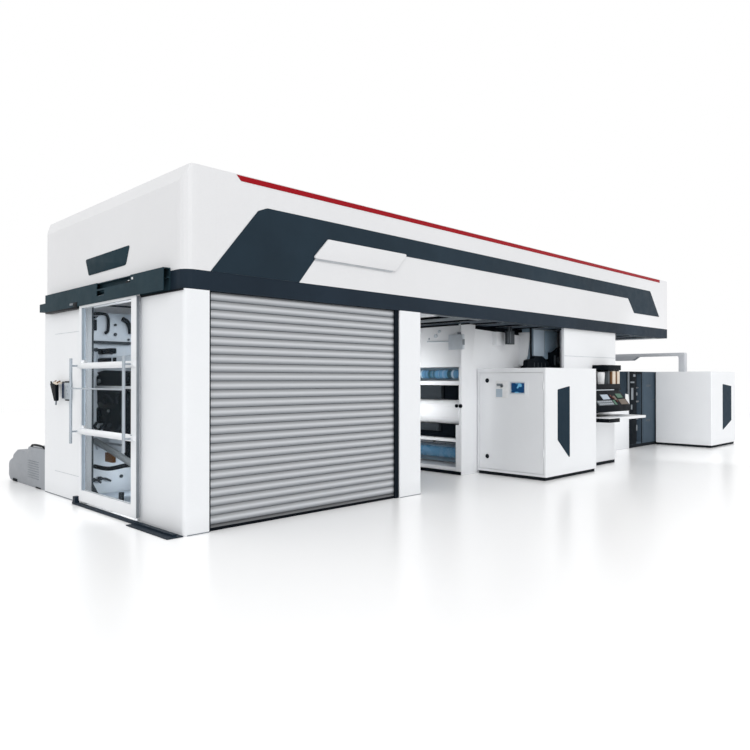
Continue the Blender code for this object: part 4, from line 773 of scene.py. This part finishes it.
def makeDoorDetails(s):
    body = "sliding_door"
    boxes("leaf_seal", "gasketGray", [((-0.066, 0.9925, 0.07), (-0.03, 0.9996, 2.71))], body)
    seals = []
    front, rear, wide = s["paneFront"], s["paneRear"], s["sealWide"]
    outer, inner = s["sealDepth"]
    for low, high in zip(s["paneLow"], s["paneHigh"]):
        seals += [((outer, front, low + wide), (inner, front + wide, high - wide)),
                  ((outer, rear - wide, low + wide), (inner, rear, high - wide))]
    low, high = s["paneLow"][0], s["paneHigh"][-1]
    seals += [((outer, front, low), (inner, rear, low + wide)),
              ((outer, front, high - wide), (inner, rear, high))]
    boxes("glass_seals", "seamShade", seals, body, 0.001)
    # blue-gray band at each pane's rear edge: painted shade of the jamb seen through the glass
    boxes("pane_shade_bands", "sealBlue", [
        ((-0.0585, s["bandStart"], low), (-0.0392, rear - 0.0005, high))
        for low, high in zip(s["paneLow"], s["paneHigh"])], body, 0.001)
    y = s["bossPlace"]
    built("handle_bosses", "handleMetal", [
        (addTurned, (-0.0705, y, height), (-0.092, y, height), s["boss"])
        for height in s["bossHeights"]], body)
    boxes("hanger_covers", "blackPlastic", [
        ((-0.0512, front, 2.722), (-0.0416, rear, 2.9168)) for front, rear in s["hangers"]], body, 0.0004)


def makeTrackDetails():
    rods("track_roller", "whiteBoard", [
        ((-0.0905, 1.055, 2.908), (-0.0905, 1.055, 2.936), 0.013)], edge=0.005)
    boxes("track_window_piece", "paleKeys", [((-0.084, 1.885, 2.776), (-0.0795, 2.05, 2.804))], edge=0.002)
    boxes("track_latch", "gasketGray", [((-0.1, 2.88, 2.742), (-0.0905, 2.99, 2.772))], edge=0.003)
    # black strips under the door track: painted shadow
    boxes("track_shadow_strips", "blackPlastic", [
        ((-0.0895, 2.735, 2.694), (-0.004, 3.96, 2.7155)),
        ((-0.095, 2.735, 2.718), (-0.0905, 2.878, 2.776)),
        ((-0.02, 0.0, 2.694), (-0.004, 0.985, 2.7155))], edge=0.002)


makeDoorDetails(doorSettings)
makeTrackDetails()
print("sliding door made")


# print unit: what shows through the glass, on the rear frame, the decks and between them

printSettings = {
    "frameFace": 3.3995,
    "deckFace": 0.45,
    "covers": ((0.68, 2.4, 0.076), (0.68, 0.34, 0.096)),
    "shrouds": (
        ((3.392, 1.82), (3.15, 1.85), (2.1, 1.826), (2.1, 1.605), (3.275, 1.597), (3.3, 1.622),
         (3.24, 1.686), (3.301, 1.749)),
        ((3.392, 1.552), (2.1, 1.55), (2.1, 1.028), (3.297, 0.976), (3.297, 1.024), (3.086, 1.101),
         (3.237, 1.2), (3.35, 1.324), (3.394, 1.363), (3.38, 1.428), (3.39, 1.493)),
        ((2.525, 0.896), (2.1, 0.891), (2.1, 0.5), (2.277, 0.538), (2.397, 0.606), (2.506, 0.707))),
    "levers": ((0.43, 2.137, 0.24), (0.4, 0.205, 0.1), (0.5, 0.215, 0.15)),
    "blocks": ((1.985, ((2.76, 2.86), (2.93, 3.396))), (2.125, ((2.93, 3.1), (3.18, 3.396))),
               (1.335, ((2.6, 3.36),)), (0.975, ((2.3, 3.02), (3.1, 3.2)))),
    "knobs": ((3.276, 1.69, 0.035, 0.032), (2.46, 1.7, 0.03, 0.022), (2.95, 1.26, 0.03, 0.02)),
    "feet": (2.59, 1.4),
    "rails": ((1.584, 1.622), (1.944, 1.958)),
    "bolts": ((0.729, 2.545, 0.019), (0.729, 2.4, 0.024), (0.828, 0.235, 0.026), (0.94, 2.33, 0.016)),
}


def makePrintFittings(s):
    face = s["frameFace"]
    deck = s["deckFace"]
    near = face - 0.03
    pipes("ink_pipes", "rubberBlack", [
        (((0.4, near, 2.69), (0.48, near, 2.7), (0.575, near, 2.69), (0.612, near, 2.63),
          (0.614, near, 2.53), (0.604, near, 2.44), (0.565, near, 2.412)), 0.022),
        (((0.83, near, 2.64), (0.905, near, 2.6), (0.95, near, 2.52), (0.965, near, 2.42)), 0.036),
        (((0.418, near, 2.445), (0.418, near, 2.605)), 0.022),
        (((0.425, 3.398, 0.42), (0.425, 2.9, 0.432), (0.43, 2.28, 0.54), (0.43, 1.6, 0.61),
          (0.43, 0.866, 0.62)), 0.031)])
    rods("frame_bolts", "darkSteel", [
        ((x, face, z), (x, face - 0.03, z), radius) for x, z, radius in s["bolts"]], edge=0.006)
    rods("frame_covers", "framePaint", [
        ((x, face + 0.001, z), (x, face - 0.004, z), radius) for x, z, radius in s["covers"]], edge=0.001)
    boxes("inner_tray", "sheetBluePaint", [((0.36, 0.905, 0.001), (3.3, 3.395, 0.005))], edge=0.0008)
    boxes("frame_rail", "darkSteel", [((0.392, face - 0.045, 2.25), (0.98, face, 2.292))], edge=0.006)
    levers = []
    for x, z, length in s["levers"]:
        levers += [(addRod, (x, face - 0.004, z + 0.02), (x, face - 0.05, z + 0.02), 0.03),
                   (addPipe, ((x, face - 0.045, z + 0.02), (x + length / 2, face - 0.055, z + 0.01),
                              (x + length, face - 0.045, z - 0.03)), 0.016)]
    built("clamp_levers", "darkSteel", levers)
    built("frame_gusset", "darkSteel", [
        (addPlate, "XZ", [(0.382, 0.012), (0.47, 0.012), (0.382, 0.185)], face - 0.04, face, 0.002)])
    # dark shrouds of hoses and ink chambers between the decks
    built("chamber_shrouds", "blackPaint", [
        (addPlate, "YZ", outline, deck + 0.007, deck + 0.011, 0.001) for outline in s["shrouds"]])
    # valve blocks and pumps on the outer face of the decks
    boxes("valve_blocks", "blackPlastic", [
        ((deck + 0.004, start, height - 0.035), (deck + 0.1, end, height + 0.045))
        for height, spans in s["blocks"] for start, end in spans], edge=0.014)
    boxes("deck_rails", "seamShade", [
        ((deck - 0.022, 0.866, low), (deck - 0.0005, 3.398, high)) for low, high in s["rails"]], edge=0.004)
    rods("deck_knobs", "keyGray", [
        ((deck - 0.0005, y, z), (deck - out, y, z), radius) for y, z, out, radius in s["knobs"]], edge=0.006)
    pipes("deck_pipes", "rubberBlack", [
        (((0.44, 3.36, 1.075), (0.405, 3.35, 1.02), (0.4, 3.26, 0.975), (0.405, 3.16, 0.99),
            (0.44, 3.08, 1.075)), 0.02),
        (((0.44, 2.9, 1.075), (0.4, 2.86, 1.0), (0.4, 2.7, 0.955), (0.405, 2.56, 1.0),
            (0.44, 2.52, 1.075)), 0.026),
        (((0.44, 3.1, 1.365), (0.4, 3.02, 1.46), (0.4, 2.88, 1.47), (0.44, 2.8, 1.375)), 0.024),
        (((0.44, 2.68, 1.375), (0.405, 2.6, 1.5), (0.41, 2.44, 1.53), (0.44, 2.36, 1.56)), 0.022)])
    built("wash_line", "soffitGray", [
        (addPipe, ((0.428, 3.398, 0.8), (0.426, 2.9, 0.712), (0.424, 2.43, 0.622), (0.424, 2.1, 0.56)),
            0.046, 14)], sharp=50)
    boxes("wood_block", "brownBoard", [((0.432, 2.815, 0.52), (0.492, 3.055, 0.656))], edge=0.008)
    rods("deck_feet", "darkSteel", [
        ((0.47, y, 0.001), (0.47, y, 0.125), 0.036) for y in s["feet"]], edge=0.008)


makePrintFittings(printSettings)
print("print unit made")


# web unit: end box, fittings of the cover plate, what shows in the slots

webSettings = {
    "face": 5.8995,
    "coverFace": 5.9195,
    "fittings": ((1.309, 2.598, 0.03, 0.028), (1.393, 2.518, 0.03, 0.036), (1.56, 2.47, 0.02, 0.02)),
    "slot": (0.88, 3.38),
    "gear": ((1.345, 1.605), (0.645, 0.895)),
    "guards": ((1.3, 1.35, 1.6), (1.36, 0.76, 0.895)),
    "rollers": ((6.3, 1.86, 0.03), (6.36, 0.5, 0.04)),
    "webs": ((1.7, 1.935, 0.42), (0.15, 0.56, 0.44)),
}


def makeWebDetails(s):
    face, cover = s["face"], s["coverFace"]
    front, rear = s["slot"]
    softened("web_frame_front", "whitePaint", 0.003)
    boxes("web_end_box", "bezelGray", [((face - 0.055, 0.72, 2.25), (face, 1.045, 2.52))], edge=0.008)
    boxes("web_end_box_lid", "gasketGray", [
        ((face - 0.058, 0.705, 2.33), (face - 0.01, 0.7195, 2.43)),
        ((face - 0.03, 0.795, 2.5205), (face, 0.86, 2.56))], edge=0.004)
    boxes("web_top_shade", "blackPlastic", [
        ((5.885, 0.86, 2.6885), (5.96, 3.4, 2.715)),
        ((5.884, 0.6, 2.69), (5.899, 0.79, 2.715))], edge=0.002)
    rods("cover_fittings", "bezelGray", [
        ((cover, y, z), (cover - out, y, z), radius) for y, z, out, radius in s["fittings"]], edge=0.006)
    pipes("cover_line", "bezelGray", [
        (((cover - 0.012, 1.6, 2.42), (cover - 0.02, 1.4, 2.415), (cover - 0.02, 1.15, 2.405),
            (cover - 0.012, 1.06, 2.4)), 0.013)])
    rods("web_knob", "blackPlastic", [
        ((5.899, 0.89, 1.24), (5.868, 0.89, 1.24), 0.032),
        ((5.899, 0.796, 1.24), (5.862, 0.796, 1.24), 0.034)], edge=0.008)
    boxes("web_foot_strip", "blackPlastic", [((5.892, 0.8, 0.002), (5.8995, 3.4, 0.058))])
    # behind the rollers: printed webs, dark gear and gray guards
    boxes("printed_webs", "steelBluePaint", [
        ((cover + depth, front, low), (cover + depth + 0.01, rear, high)) for low, high, depth in s["webs"]])
    boxes("slot_gear", "blackPlastic", [
        ((cover + 0.12, front, low), (cover + 0.2, rear, high)) for low, high in s["gear"]], edge=0.01)
    boxes("slot_guards", "darkSteel", [
        ((cover + 0.03, start, low), (cover + 0.11, rear, high))
        for start, low, high in s["guards"]], edge=0.012)
    rods("slot_knob", "blackPlastic", [
        ((cover + 0.06, 1.47, 0.6), (cover + 0.01, 1.47, 0.6), 0.045)], edge=0.012)
    rods("slot_rollers", "rollerSteel", [
        ((x, front, z), (x, rear, z), radius) for x, z, radius in s["rollers"]])


makeWebDetails(webSettings)
print("web unit made")


# middle and right cabinet: screen, lock panel, locks and dark plinths

cabinetSettings = {
    "doorFace": 6.3425,
    "screen": ((-0.234, 0.031), (1.48, 1.652)),
    "lockPanel": ((0.1, 0.36), (1.385, 1.69)),
    "rim": (0.003, 0.022),
    "locks": (0.33, 1.695),
    "plinthHigh": 0.058,
    "plinthBack": (0.0285, 0.0297),
}


def makeCabinetDetails(s):
    body = "cabinet_door"
    face = s["doorFace"] - 0.0065
    (front, rear), (low, high) = s["screen"]
    built("cabinet_screen", "screenBlue", [
        (addPlate, "YZ", roundedCorners(((front, low, 0.008), (rear, low, 0.008), (rear, high, 0.008),
            (front, high, 0.008))), face - 0.003, face + 0.002, 0.0008)], body)
    inner, outer = s["rim"]
    rims = (
        (front - outer, low - outer, rear + outer, low - inner),
        (front - outer, high + inner, rear + outer, high + outer),
        (front - outer, low - inner, front - inner, high + inner),
        (rear + inner, low - inner, rear + outer, high + inner))
    boxes("screen_rim", "bezelGray", [
        ((face - 0.007, y0, z0), (face + 0.003, y1, z1)) for y0, z0, y1, z1 in rims], body, 0.002)
    (front, rear), (low, high) = s["lockPanel"]
    boxes("lock_panel", "whiteBoard", [((6.3375, front, low), (6.3428, rear, high))], body, 0.003)
    boxes("lock_panel_field", "sheetBluePaint", [
        ((6.3362, 0.22, 1.4), (6.3376, 0.352, 1.545))], body, 0.0004)
    boxes("lock_panel_pull", "gasketGray", [((6.326, 0.21, 1.6), (6.3378, 0.335, 1.64))], body, 0.004)
    rods("lock_panel_knob", "keyGray", [((6.3378, 0.225, 1.6), (6.316, 0.225, 1.6), 0.026)], body)
    rods("lock_faces", "blackPlastic", [((6.3315, 0.54, z), (6.327, 0.54, z), 0.04) for z in s["locks"]],
         body, 0.001)
    rods("lock_slots", "darkSteel", [((6.3271, 0.54, z), (6.3258, 0.54, z), 0.009) for z in s["locks"]],
         body, 0.0005)
    near, far = s["plinthBack"]
    for name in ("cabinet_middle", "cabinet_right"):
        low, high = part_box(name)
        x0, y0, x1, y1 = low.x - pressLow.x, low.y - pressLow.y, high.x - pressLow.x, high.y - pressLow.y
        if name == "cabinet_middle":
            x0 = s["doorFace"] + 0.0005
        spans = ((x0 + near, y0 + near, x1 - near, y0 + far), (x0 + near, y0 + near, x0 + far, y1 - near),
                 (x1 - far, y0 + near, x1 - near, y1 - near))
        boxes(name + "_plinth", "rubberBlack", [
            ((left, front, 0.001), (right, rear, s["plinthHigh"]))
            for left, front, right, rear in spans], edge=0.0003)


makeCabinetDetails(cabinetSettings)
print("cabinets made")


# console: books and cup in the booth, screen, keys and papers on the panel

consoleSettings = {
    "boothFloor": 1.5205,
    "canopy": ((9.33, 0.059), (9.33, -0.25, 0.12), (10.03, -0.25, 0.06), (10.03, 0.059)),
    "canopyHigh": (1.905, 2.01),
    "boothEnds": (8.45, 10.0),
    "binders": {
        "booth_binders": ("creamBoard", -0.24, 1.884, 0.008, ((9.635, 0.125), (9.845, 0.105))),
        "booth_folders": ("brownBoard", -0.232, 1.87, 0.006,
                          ((9.59, 0.042), (9.764, 0.036), (9.806, 0.036))),
    },
    "redKeys": ((9.28, 0.4), (9.32, 0.5), (9.42, 0.74), (9.36, 0.58)),
    "redKey": ((0, 0.02), (0.012, 0.022), (0.022, 0.014)),
    "panelTop": (-0.25, 1.5),
    "panelLow": (-0.49, 1.19),
}


def panelSpot(x, down, lift, s):
    # point on the sloped panel, down from its top edge
    top, low = Vector(s["panelTop"]), Vector(s["panelLow"])
    slope = low - top
    spot = top + slope * down
    out = Vector((slope.y, -slope.x)).normalized() * lift
    return (x, spot.x + out.x, spot.y + out.y)


def addSheet(bm, left, right, upper, lower, s, thick=0.006, lift=0.001):
    corners = (left, upper), (right, upper), (right, lower), (left, lower)
    joinRings(bm, [[bm.verts.new(panelSpot(x, down, rise, s)) for x, down in corners]
                   for rise in (lift, lift + thick)])


def makeConsoleDetails(s):
    floor = s["boothFloor"]
    base = floor + 0.001
    left, right = s["boothEnds"]
    built("console_booth_body", "blackPaint", [
        (addPlate, "XY", roundedCorners(s["canopy"]), *s["canopyHigh"], 0.006),
        (addBox, (left, 0.03, 1.5), (right, 0.0595, s["canopyHigh"][0] - 0.001), 0.003),
        (addBox, (left, -0.25, 1.5), (right, 0.029, floor - 0.0005), 0.004),
        (addBox, (right - 0.02, -0.2, floor), (right, 0.029, s["canopyHigh"][0] - 0.001), 0.004)],
            replaced="console_booth")
    boxes("booth_back", "whiteBoard", [((9.02, 0.02, floor + 0.1), (9.8, 0.0285, 1.88))])
    boxes("booth_divider", "keyGray", [((9.5, -0.2, base), (9.585, 0.018, 1.886))])
    for name, (finish, front, top, edge, rows) in s["binders"].items():
        boxes(name, finish, [
            ((x, front, base), (x + wide, 0.018, top)) for x, wide in rows], edge=edge)
    built("booth_cup", "whiteBoard", [
        (addTurned, (9.4, -0.1, base), (9.4, -0.1, floor + 0.34),
            ((0, 0.048), (0.02, 0.054), (0.22, 0.068), (0.31, 0.074), (0.34, 0.07), (0.33, 0.062)))])
    boxes("booth_foot", "blackPlastic", [((8.47, -0.2485, base), (9.955, -0.241, floor + 0.1))])
    boxes("shelf_edge", "bezelGray", [((8.5, -0.256, 1.478), (9.66, -0.2505, 1.508))])
    built("panel_screen", "sheetBluePaint", [(addSheet, 8.9, 9.2, 0.3, 0.6, s)])
    built("panel_keys", "keyGray", [(addSheet, 8.56, 9.22, 0.66, 0.97, s)])
    caps = []
    for step in range(8):
        left, right = 8.6 + step * 0.075, 8.655 + step * 0.075
        caps += [(addSheet, left, right, *rows, s, 0.008, 0.007) for rows in ((0.7, 0.79), (0.84, 0.93))]
    built("panel_key_caps", "paleKeys", caps)
    built("panel_papers", "paperBrown", [
        (addSheet, 9.52, 9.83, 0.62, 0.95, s), (addSheet, 9.38, 9.48, 0.4, 0.66, s)])
    built("panel_green", "greenPlastic", [
        (addSheet, 9.54, 9.78, 0.28, 0.54, s, 0.012), (addSheet, 9.25, 9.34, 0.66, 0.95, s, 0.008)])
    built("panel_red_keys", "rustPlastic", [
        (addTurned, panelSpot(x, down, 0.0005, s), panelSpot(x, down, 0.03, s), s["redKey"])
        for x, down in s["redKeys"]])
    built("panel_side_sheet", "whiteBoard", [
        (addPlate, "XZ", [(9.8815, 1.415), (10.02, 1.4), (10.07, 1.2), (9.96, 1.13), (9.8815, 1.13)],
            -0.395, -0.385, 0.002)])
    boxes("desk_lip", "blackPlastic", [
        ((8.448, -0.756, 0.892), (8.86, -0.7505, 0.966)),
        ((8.444, -0.75, 0.892), (8.4495, 0.05, 0.966))], edge=0.003)
    boxes("desk_sheet", "bezelGray", [((8.95, -0.66, 0.9805), (9.3, -0.52, 0.984))], edge=0.001)
    boxes("base_plinth", "rubberBlack", [
        ((8.498, -0.2525, 0.001), (9.68, -0.2502, 0.058)),
        ((8.498, -0.2525, 0.001), (8.4997, 0.055, 0.058))], edge=0.0004)
    boxes("column_joint", "jointShade", [((8.208, 0.0585, 2.17), (10.38, 0.0597, 2.182))], edge=0.0003)


makeConsoleDetails(consoleSettings)


# column behind the console: a slim flange shows at its end, the body stands behind the booth

columnSettings = {
    "span": (8.204, 10.384), "front": 0.06, "rear": 0.3995, "flangeLong": 0.42, "flangeDeep": 0.062,
    "top": 2.7155}


def makeColumn(s):
    start, end = s["span"]
    front, rear = s["front"], s["rear"]
    neck = start + s["flangeLong"]
    outline = ((start, front, 0.008), (end, front, 0.008), (end, rear, 0.008), (neck, rear, 0.008),
               (neck, front + s["flangeDeep"]), (start, front + s["flangeDeep"], 0.004))
    built("console_column_body", "whitePaint", [
        (addPlate, "XY", roundedCorners(outline, 3), 0.0005, s["top"])], replaced="console_column")


makeColumn(columnSettings)
print("console made")


# air handling over the middle cabinet: blower, duct flanges and cheek, hanging box and its pipe

airSettings = {
    "seat": 1.9125,
    "scroll": (
        (7.42, 1.9125), (7.44, 2.075, 0.03), (7.54, 2.105, 0.04), (7.64, 2.105, 0.03),
        (7.715, 2.168, 0.05), (7.96, 2.168, 0.06), (8.2, 2.06, 0.05), (8.235, 1.9125)),
    "scrollFront": 0.4,
    "scrollRear": 0.497,
    "bodyStart": 7.8,
    "motorStart": 8.33,
    "motorEnd": 8.857,
    "rear": 0.74,
    "cheek": ((0.81, 2.64), (0.541, 2.64), (0.604, 2.19), (0.68, 1.985), (0.81, 1.985)),
}


def makeAirDetails(s):
    seat, rear = s["seat"], s["rear"]
    built("blower_body", "blackPaint", [
        (addPlate, "XZ", roundedCorners(s["scroll"]), s["scrollFront"], s["scrollRear"], 0.006),
        (addPlate, "XZ", [(s["bodyStart"], seat), (s["bodyStart"], 2.094), (8.2, 2.094), (8.235, seat)],
            s["scrollRear"] + 0.001, rear),
        (addPlate, "XZ", [(s["motorStart"], seat), (s["motorStart"], 2.255), (8.445, 2.255), (8.7, 2.372),
            (s["motorEnd"], 2.372), (s["motorEnd"], seat)], 0.42, s["scrollRear"], 0.005),
        (addPlate, "XZ", [(8.455, seat), (8.455, 2.235), (8.709, 2.368), (s["motorEnd"], 2.368),
            (s["motorEnd"], seat)], s["scrollRear"] + 0.001, rear),
        (addBox, (8.1, 0.52, seat), (8.5, rear, seat + 0.09), 0.004)], replaced="blower_housing")
    built("blower_ribs", "darkSteel", [
        *[(addBox, (x, 0.3925, 1.93), (x + 0.018, 0.3995, 2.04), 0.002) for x in spaced(7.66, 0.13, 4)],
        (addTurned, (8.6, 0.4195, 2.1), (8.6, 0.408, 2.1),
            ((0, 0.075), (0.004, 0.078), (0.01, 0.07)))])
    boxes("motor_plate", "keyGray", [((8.43, 0.4165, 2.0), (8.5, 0.4195, 2.2))])
    built("duct_cheek", "whitePaint", [
        (addPlate, "YZ", s["cheek"], 7.76, 7.7685, 0.001)])
    boxes("hanging_box", "darkSteel", [
        ((6.985, 0.52, 2.375), (7.18, 0.604, 2.628)), ((7.0, 0.53, 2.628), (7.04, 0.56, 2.712)),
        ((7.12, 0.56, 2.628), (7.16, 0.59, 2.712))], edge=0.006)
    boxes("hanging_box_ribs", "gasketGray", [
        ((6.98, 0.528, 2.4), (6.9845, 0.54, 2.61)), ((7.04, 0.5155, 2.4), (7.052, 0.5195, 2.61))])
    pipes("hanging_pipe", "rubberBlack", [
        (((7.752, 0.528, 2.711), (7.752, 0.528, 2.5), (7.752, 0.526, 2.3), (7.75, 0.52, 2.13)), 0.021)])
    boxes("duct_flanges", "gasketGray", [
        ((7.772, 0.494, 2.69), (8.716, 0.499, 2.708)), ((8.205, 0.495, 2.24), (8.213, 0.4995, 2.69))])
    built("flange_bolts", "boltSteel", [
        (addRod, (x, 0.4935, 2.699), (x, 0.489, 2.699), 0.007, 0.001, 10) for x in spaced(7.8, 0.108, 9)])
    # paler sheet on the duct's front: painted highlight on its lit part
    boxes("duct_painted_lit_side", "sheetBluePaint", [((7.8, 0.4955, 2.175), (8.195, 0.4992, 2.688))], edge=0.001)


makeAirDetails(airSettings)
print("air parts made")


# right-hand end: winder doors, recess gear and base, housing joints

winderSettings = {
    "front": 0.79,
    "doors": (13.44, 14.6, 15.78),
    "base": (12.632, 15.798, 0.001, 0.08),
    "panels": ((12.634, 13.028, 0.085, 1.905), (13.322, 13.372, 0.085, 1.905),
               (13.03, 13.32, 1.856, 1.905)),
    "marks": ((12.74, 12.86, 1.2, 1.5), (12.7, 12.92, 1.62, 1.66), (12.72, 12.8, 0.96, 1.08),
              (12.86, 12.98, 1.78, 1.84)),
    "gear": ((13.07, 13.14, 1.62, 1.76), (13.2, 13.28, 1.3, 1.38), (13.08, 13.16, 0.9, 1.02),
             (13.19, 13.27, 0.4, 0.55)),
    "labels": ((13.62, 13.92, 1.52, 1.58), (13.6, 13.86, 0.62, 0.68), (14.0, 14.2, 1.16, 1.2)),
    "shafts": ((1.5, 0.86, 0.018), (1.15, 0.85, 0.024), (0.7, 0.86, 0.018)),
    "housingJoints": (9.0, 10.2, 11.4),
}


def makeRightEnd(s):
    front = s["front"]

    def facing(rows, out, back=-0.0003):
        # boxes on the front, from x0, x1, z0, z1
        return [((x0, front - out, z0), (x1, front + back, z1)) for x0, x1, z0, z1 in rows]

    doors = [(x - 0.004, x + 0.004, 0.1, 1.88) for x in s["doors"]]
    boxes("winder_joints", "rubberBlack", facing(doors, 0.0015), edge=0.0003)
    boxes("winder_base", "rubberBlack", facing([s["base"]], 0.003), edge=0.0005)
    # black machine front left of the recess, the recess lined dark, small fittings on it
    boxes("winder_front", "blackPaint", [
        *facing(s["panels"], 0.006), ((13.033, 0.904, 0.125), (13.317, 0.9085, 1.85))], edge=0.001)
    boxes("winder_post", "gasketGray", facing([(12.59, 12.628, 1.003, 1.905)], 0.012, 0.02), edge=0.004)
    boxes("winder_marks", "gasketGray", facing(s["marks"], 0.009, -0.0062), edge=0.001)
    boxes("winder_gear", "gasketGray", [((x0, 0.86, z0), (x1, 0.905, z1)) for x0, x1, z0, z1 in s["gear"]],
          edge=0.008)
    rods("winder_shafts", "boltSteel", [
        ((13.06, y, z), (13.29, y, z), radius) for z, y, radius in s["shafts"]])
    boxes("winder_labels", "winderLabel", facing(s["labels"], 0.0016), edge=0.0004)
    boxes("housing_joints", "seamShade", [
        ((x, 0.7885, 0.06), (x + 0.006, 0.7897, 0.995)) for x in s["housingJoints"]], edge=0.0003)


makeRightEnd(winderSettings)


# supply unit: dark handle rail on the deck, feet, faint louvres

supplySettings = {"louvres": (0.14, 0.038, 8), "louvreHigh": 0.008}  # lowest, pitch, count


def makeSupplyDetails(s):
    softened("supply_unit", "unitPaint", 0.008)
    built("supply_handle", "blackPlastic", [
        (addPipe, ((0.05, 4.34, 0.59), (0.045, 4.4, 0.655), (0.045, 4.66, 0.672), (0.045, 4.92, 0.655),
            (0.05, 4.99, 0.59)), 0.017)], sharp=50)
    boxes("supply_foot", "rubberBlack", [
        ((0.014, 5.56, 0.001), (0.0195, 5.78, 0.046)), ((0.014, 4.45, 0.001), (0.0195, 4.67, 0.022))])
    boxes("supply_louvres", "gasketGray", [
        ((0.015, 4.55, z), (0.0196, 5.05, z + s["louvreHigh"])) for z in spaced(*s["louvres"])], edge=0.001)


makeSupplyDetails(supplySettings)
print("right end and supply unit made")


# softened copies of the plain housings

softEdge = 0.006
for nodeName, finish, edge in (
        ("name_plate", "hoodPaint", softEdge), ("winder", "winderPaint", softEdge),
        ("cable_duct", "ductPaint", softEdge), ("supply_duct", "steelBluePaint", 0.004),
        ("low_housing", "whitePaint", softEdge), ("console_desk", "whitePaint", softEdge),
        ("console_panel", "blackPaint", softEdge)):
    softened(nodeName, finish, edge)
print("housings softened")


# floor, world and lamps

def lamp(place, target, size, power, spread=180):
    return {"place": place, "target": target, "size": size, "power": power, "spread": spread}


studio = {
    "ambient": 0.84,
    "floor": {"size": 160, "height": -0.0015, "bounce": 0.86, "seen": 1.25, "rough": 0.26, "ior": 1.75,
              "fade": (14, 30)},
    "sun": {"from": (-0.45, -0.85, 0.62), "angle": 50, "strength": 0.75},
    "lamps": {
        "insideLamp": lamp((1.3, 2.1, 2.66), (1.1, 2.1, 0), (2.0, 2.0), 30),
        "aisleLamp": lamp((0.22, 1.15, 1.35), (0.3, 4.0, 1.3), (0.22, 2.3), 19),
        "lowLamp": lamp((0.8, 2.88, 0.3), (0.7, 3.4, 0.27), (0.2, 0.2), 2.6),
        "bayLamp": lamp((3.75, 1.95, 1.5), (6.0, 1.95, 1.45), (0.8, 1.4), 9, 64),
        "farLamp": lamp((10.9, -1.5, 1.7), (14.2, -0.1, 1.1), (0.8, 1.0), 19),
    },
}


def makeWorld(s):
    # the camera and mirrors see white, the object gets the softer level
    world = bpy.data.worlds.new("studioWorld")
    bpy.context.scene.world = world
    world.use_nodes = True
    tree = world.node_tree
    rays = addNode(tree, "ShaderNodeLightPath", {}).outputs
    inputs = {0: rays["Is Camera Ray"], 1: rays["Is Glossy Ray"]}
    seen = addNode(tree, "ShaderNodeMath", inputs, operation="MAXIMUM")
    inputs = {0: seen.outputs[0], 1: rays["Is Transmission Ray"]}
    through = addNode(tree, "ShaderNodeMath", inputs, operation="MAXIMUM")
    level = ramp(tree, through.outputs[0], s["ambient"], 1.0, 0, 1)
    setInputs(tree, tree.nodes["Background"], {"Strength": level, "Color": gray(1)})


def makeFloor(s):
    # glossy floor, lighter to the camera than to the object, that fades to white far away
    bm = bmesh.new()
    bmesh.ops.create_grid(bm, x_segments=1, y_segments=1, size=s["size"] / 2)
    mesh = bpy.data.meshes.new("studioFloor")
    bm.to_mesh(mesh)
    bm.free()
    floor = bpy.data.objects.new("studioFloor", mesh)
    floor.location.z = s["height"]
    bpy.context.collection.objects.link(floor)
    material, tree, shader = startMaterial("studioFloor")
    tree.nodes.remove(shader)
    camera = addNode(tree, "ShaderNodeLightPath", {}).outputs["Is Camera Ray"]
    tone = blendColors(tree, camera, gray(s["bounce"]), gray(s["seen"]))
    diffuse = addNode(tree, "ShaderNodeBsdfDiffuse", {"Color": tone})
    gloss = addNode(tree, "ShaderNodeBsdfGlossy", {"Roughness": s["rough"], "Color": gray(0.95)})
    facing = addNode(tree, "ShaderNodeFresnel", {"IOR": s["ior"]})
    coated = addNode(tree, "ShaderNodeMixShader", {
        0: facing.outputs[0], 1: diffuse.outputs[0], 2: gloss.outputs[0]})
    white = addNode(tree, "ShaderNodeEmission", {"Color": gray(1), "Strength": 1.0})
    coords = addNode(tree, "ShaderNodeTexCoord", {})
    away = addNode(tree, "ShaderNodeVectorMath", {0: coords.outputs["Object"]}, operation="LENGTH")
    fade = ramp(tree, away.outputs["Value"], 0, 1, *s["fade"])
    hidden = addNode(tree, "ShaderNodeMath", {0: fade, 1: camera}, operation="MULTIPLY")
    final = addNode(tree, "ShaderNodeMixShader", {
        0: hidden.outputs[0], 1: coated.outputs[0], 2: white.outputs[0]})
    setInputs(tree, tree.nodes["Material Output"], {"Surface": final.outputs[0]})
    mesh.materials.append(material)


def makeSun(s):
    # wide soft sun, the same from end to end
    data = bpy.data.lights.new("softSun", "SUN")
    data.energy = s["strength"]
    data.angle = math.radians(s["angle"])
    sun = bpy.data.objects.new("softSun", data)
    sun.rotation_euler = Vector(s["from"]).to_track_quat("Z", "Y").to_euler()
    bpy.context.collection.objects.link(sun)


def makeLamp(name, s):
    data = bpy.data.lights.new(name, "AREA")
    data.shape = "RECTANGLE"
    data.size, data.size_y = s["size"]
    data.spread = math.radians(s["spread"])
    data.energy = s["power"]
    made = bpy.data.objects.new(name, data)
    made.location = at(*s["place"])
    aim = at(*s["target"]) - made.location
    made.rotation_euler = aim.to_track_quat("-Z", "Y").to_euler()
    made.visible_camera = False
    made.visible_glossy = False
    bpy.context.collection.objects.link(made)


makeWorld(studio)
makeFloor(studio["floor"])
makeSun(studio["sun"])
for lampName, lampValues in studio["lamps"].items():
    makeLamp(lampName, lampValues)
print("studio set")
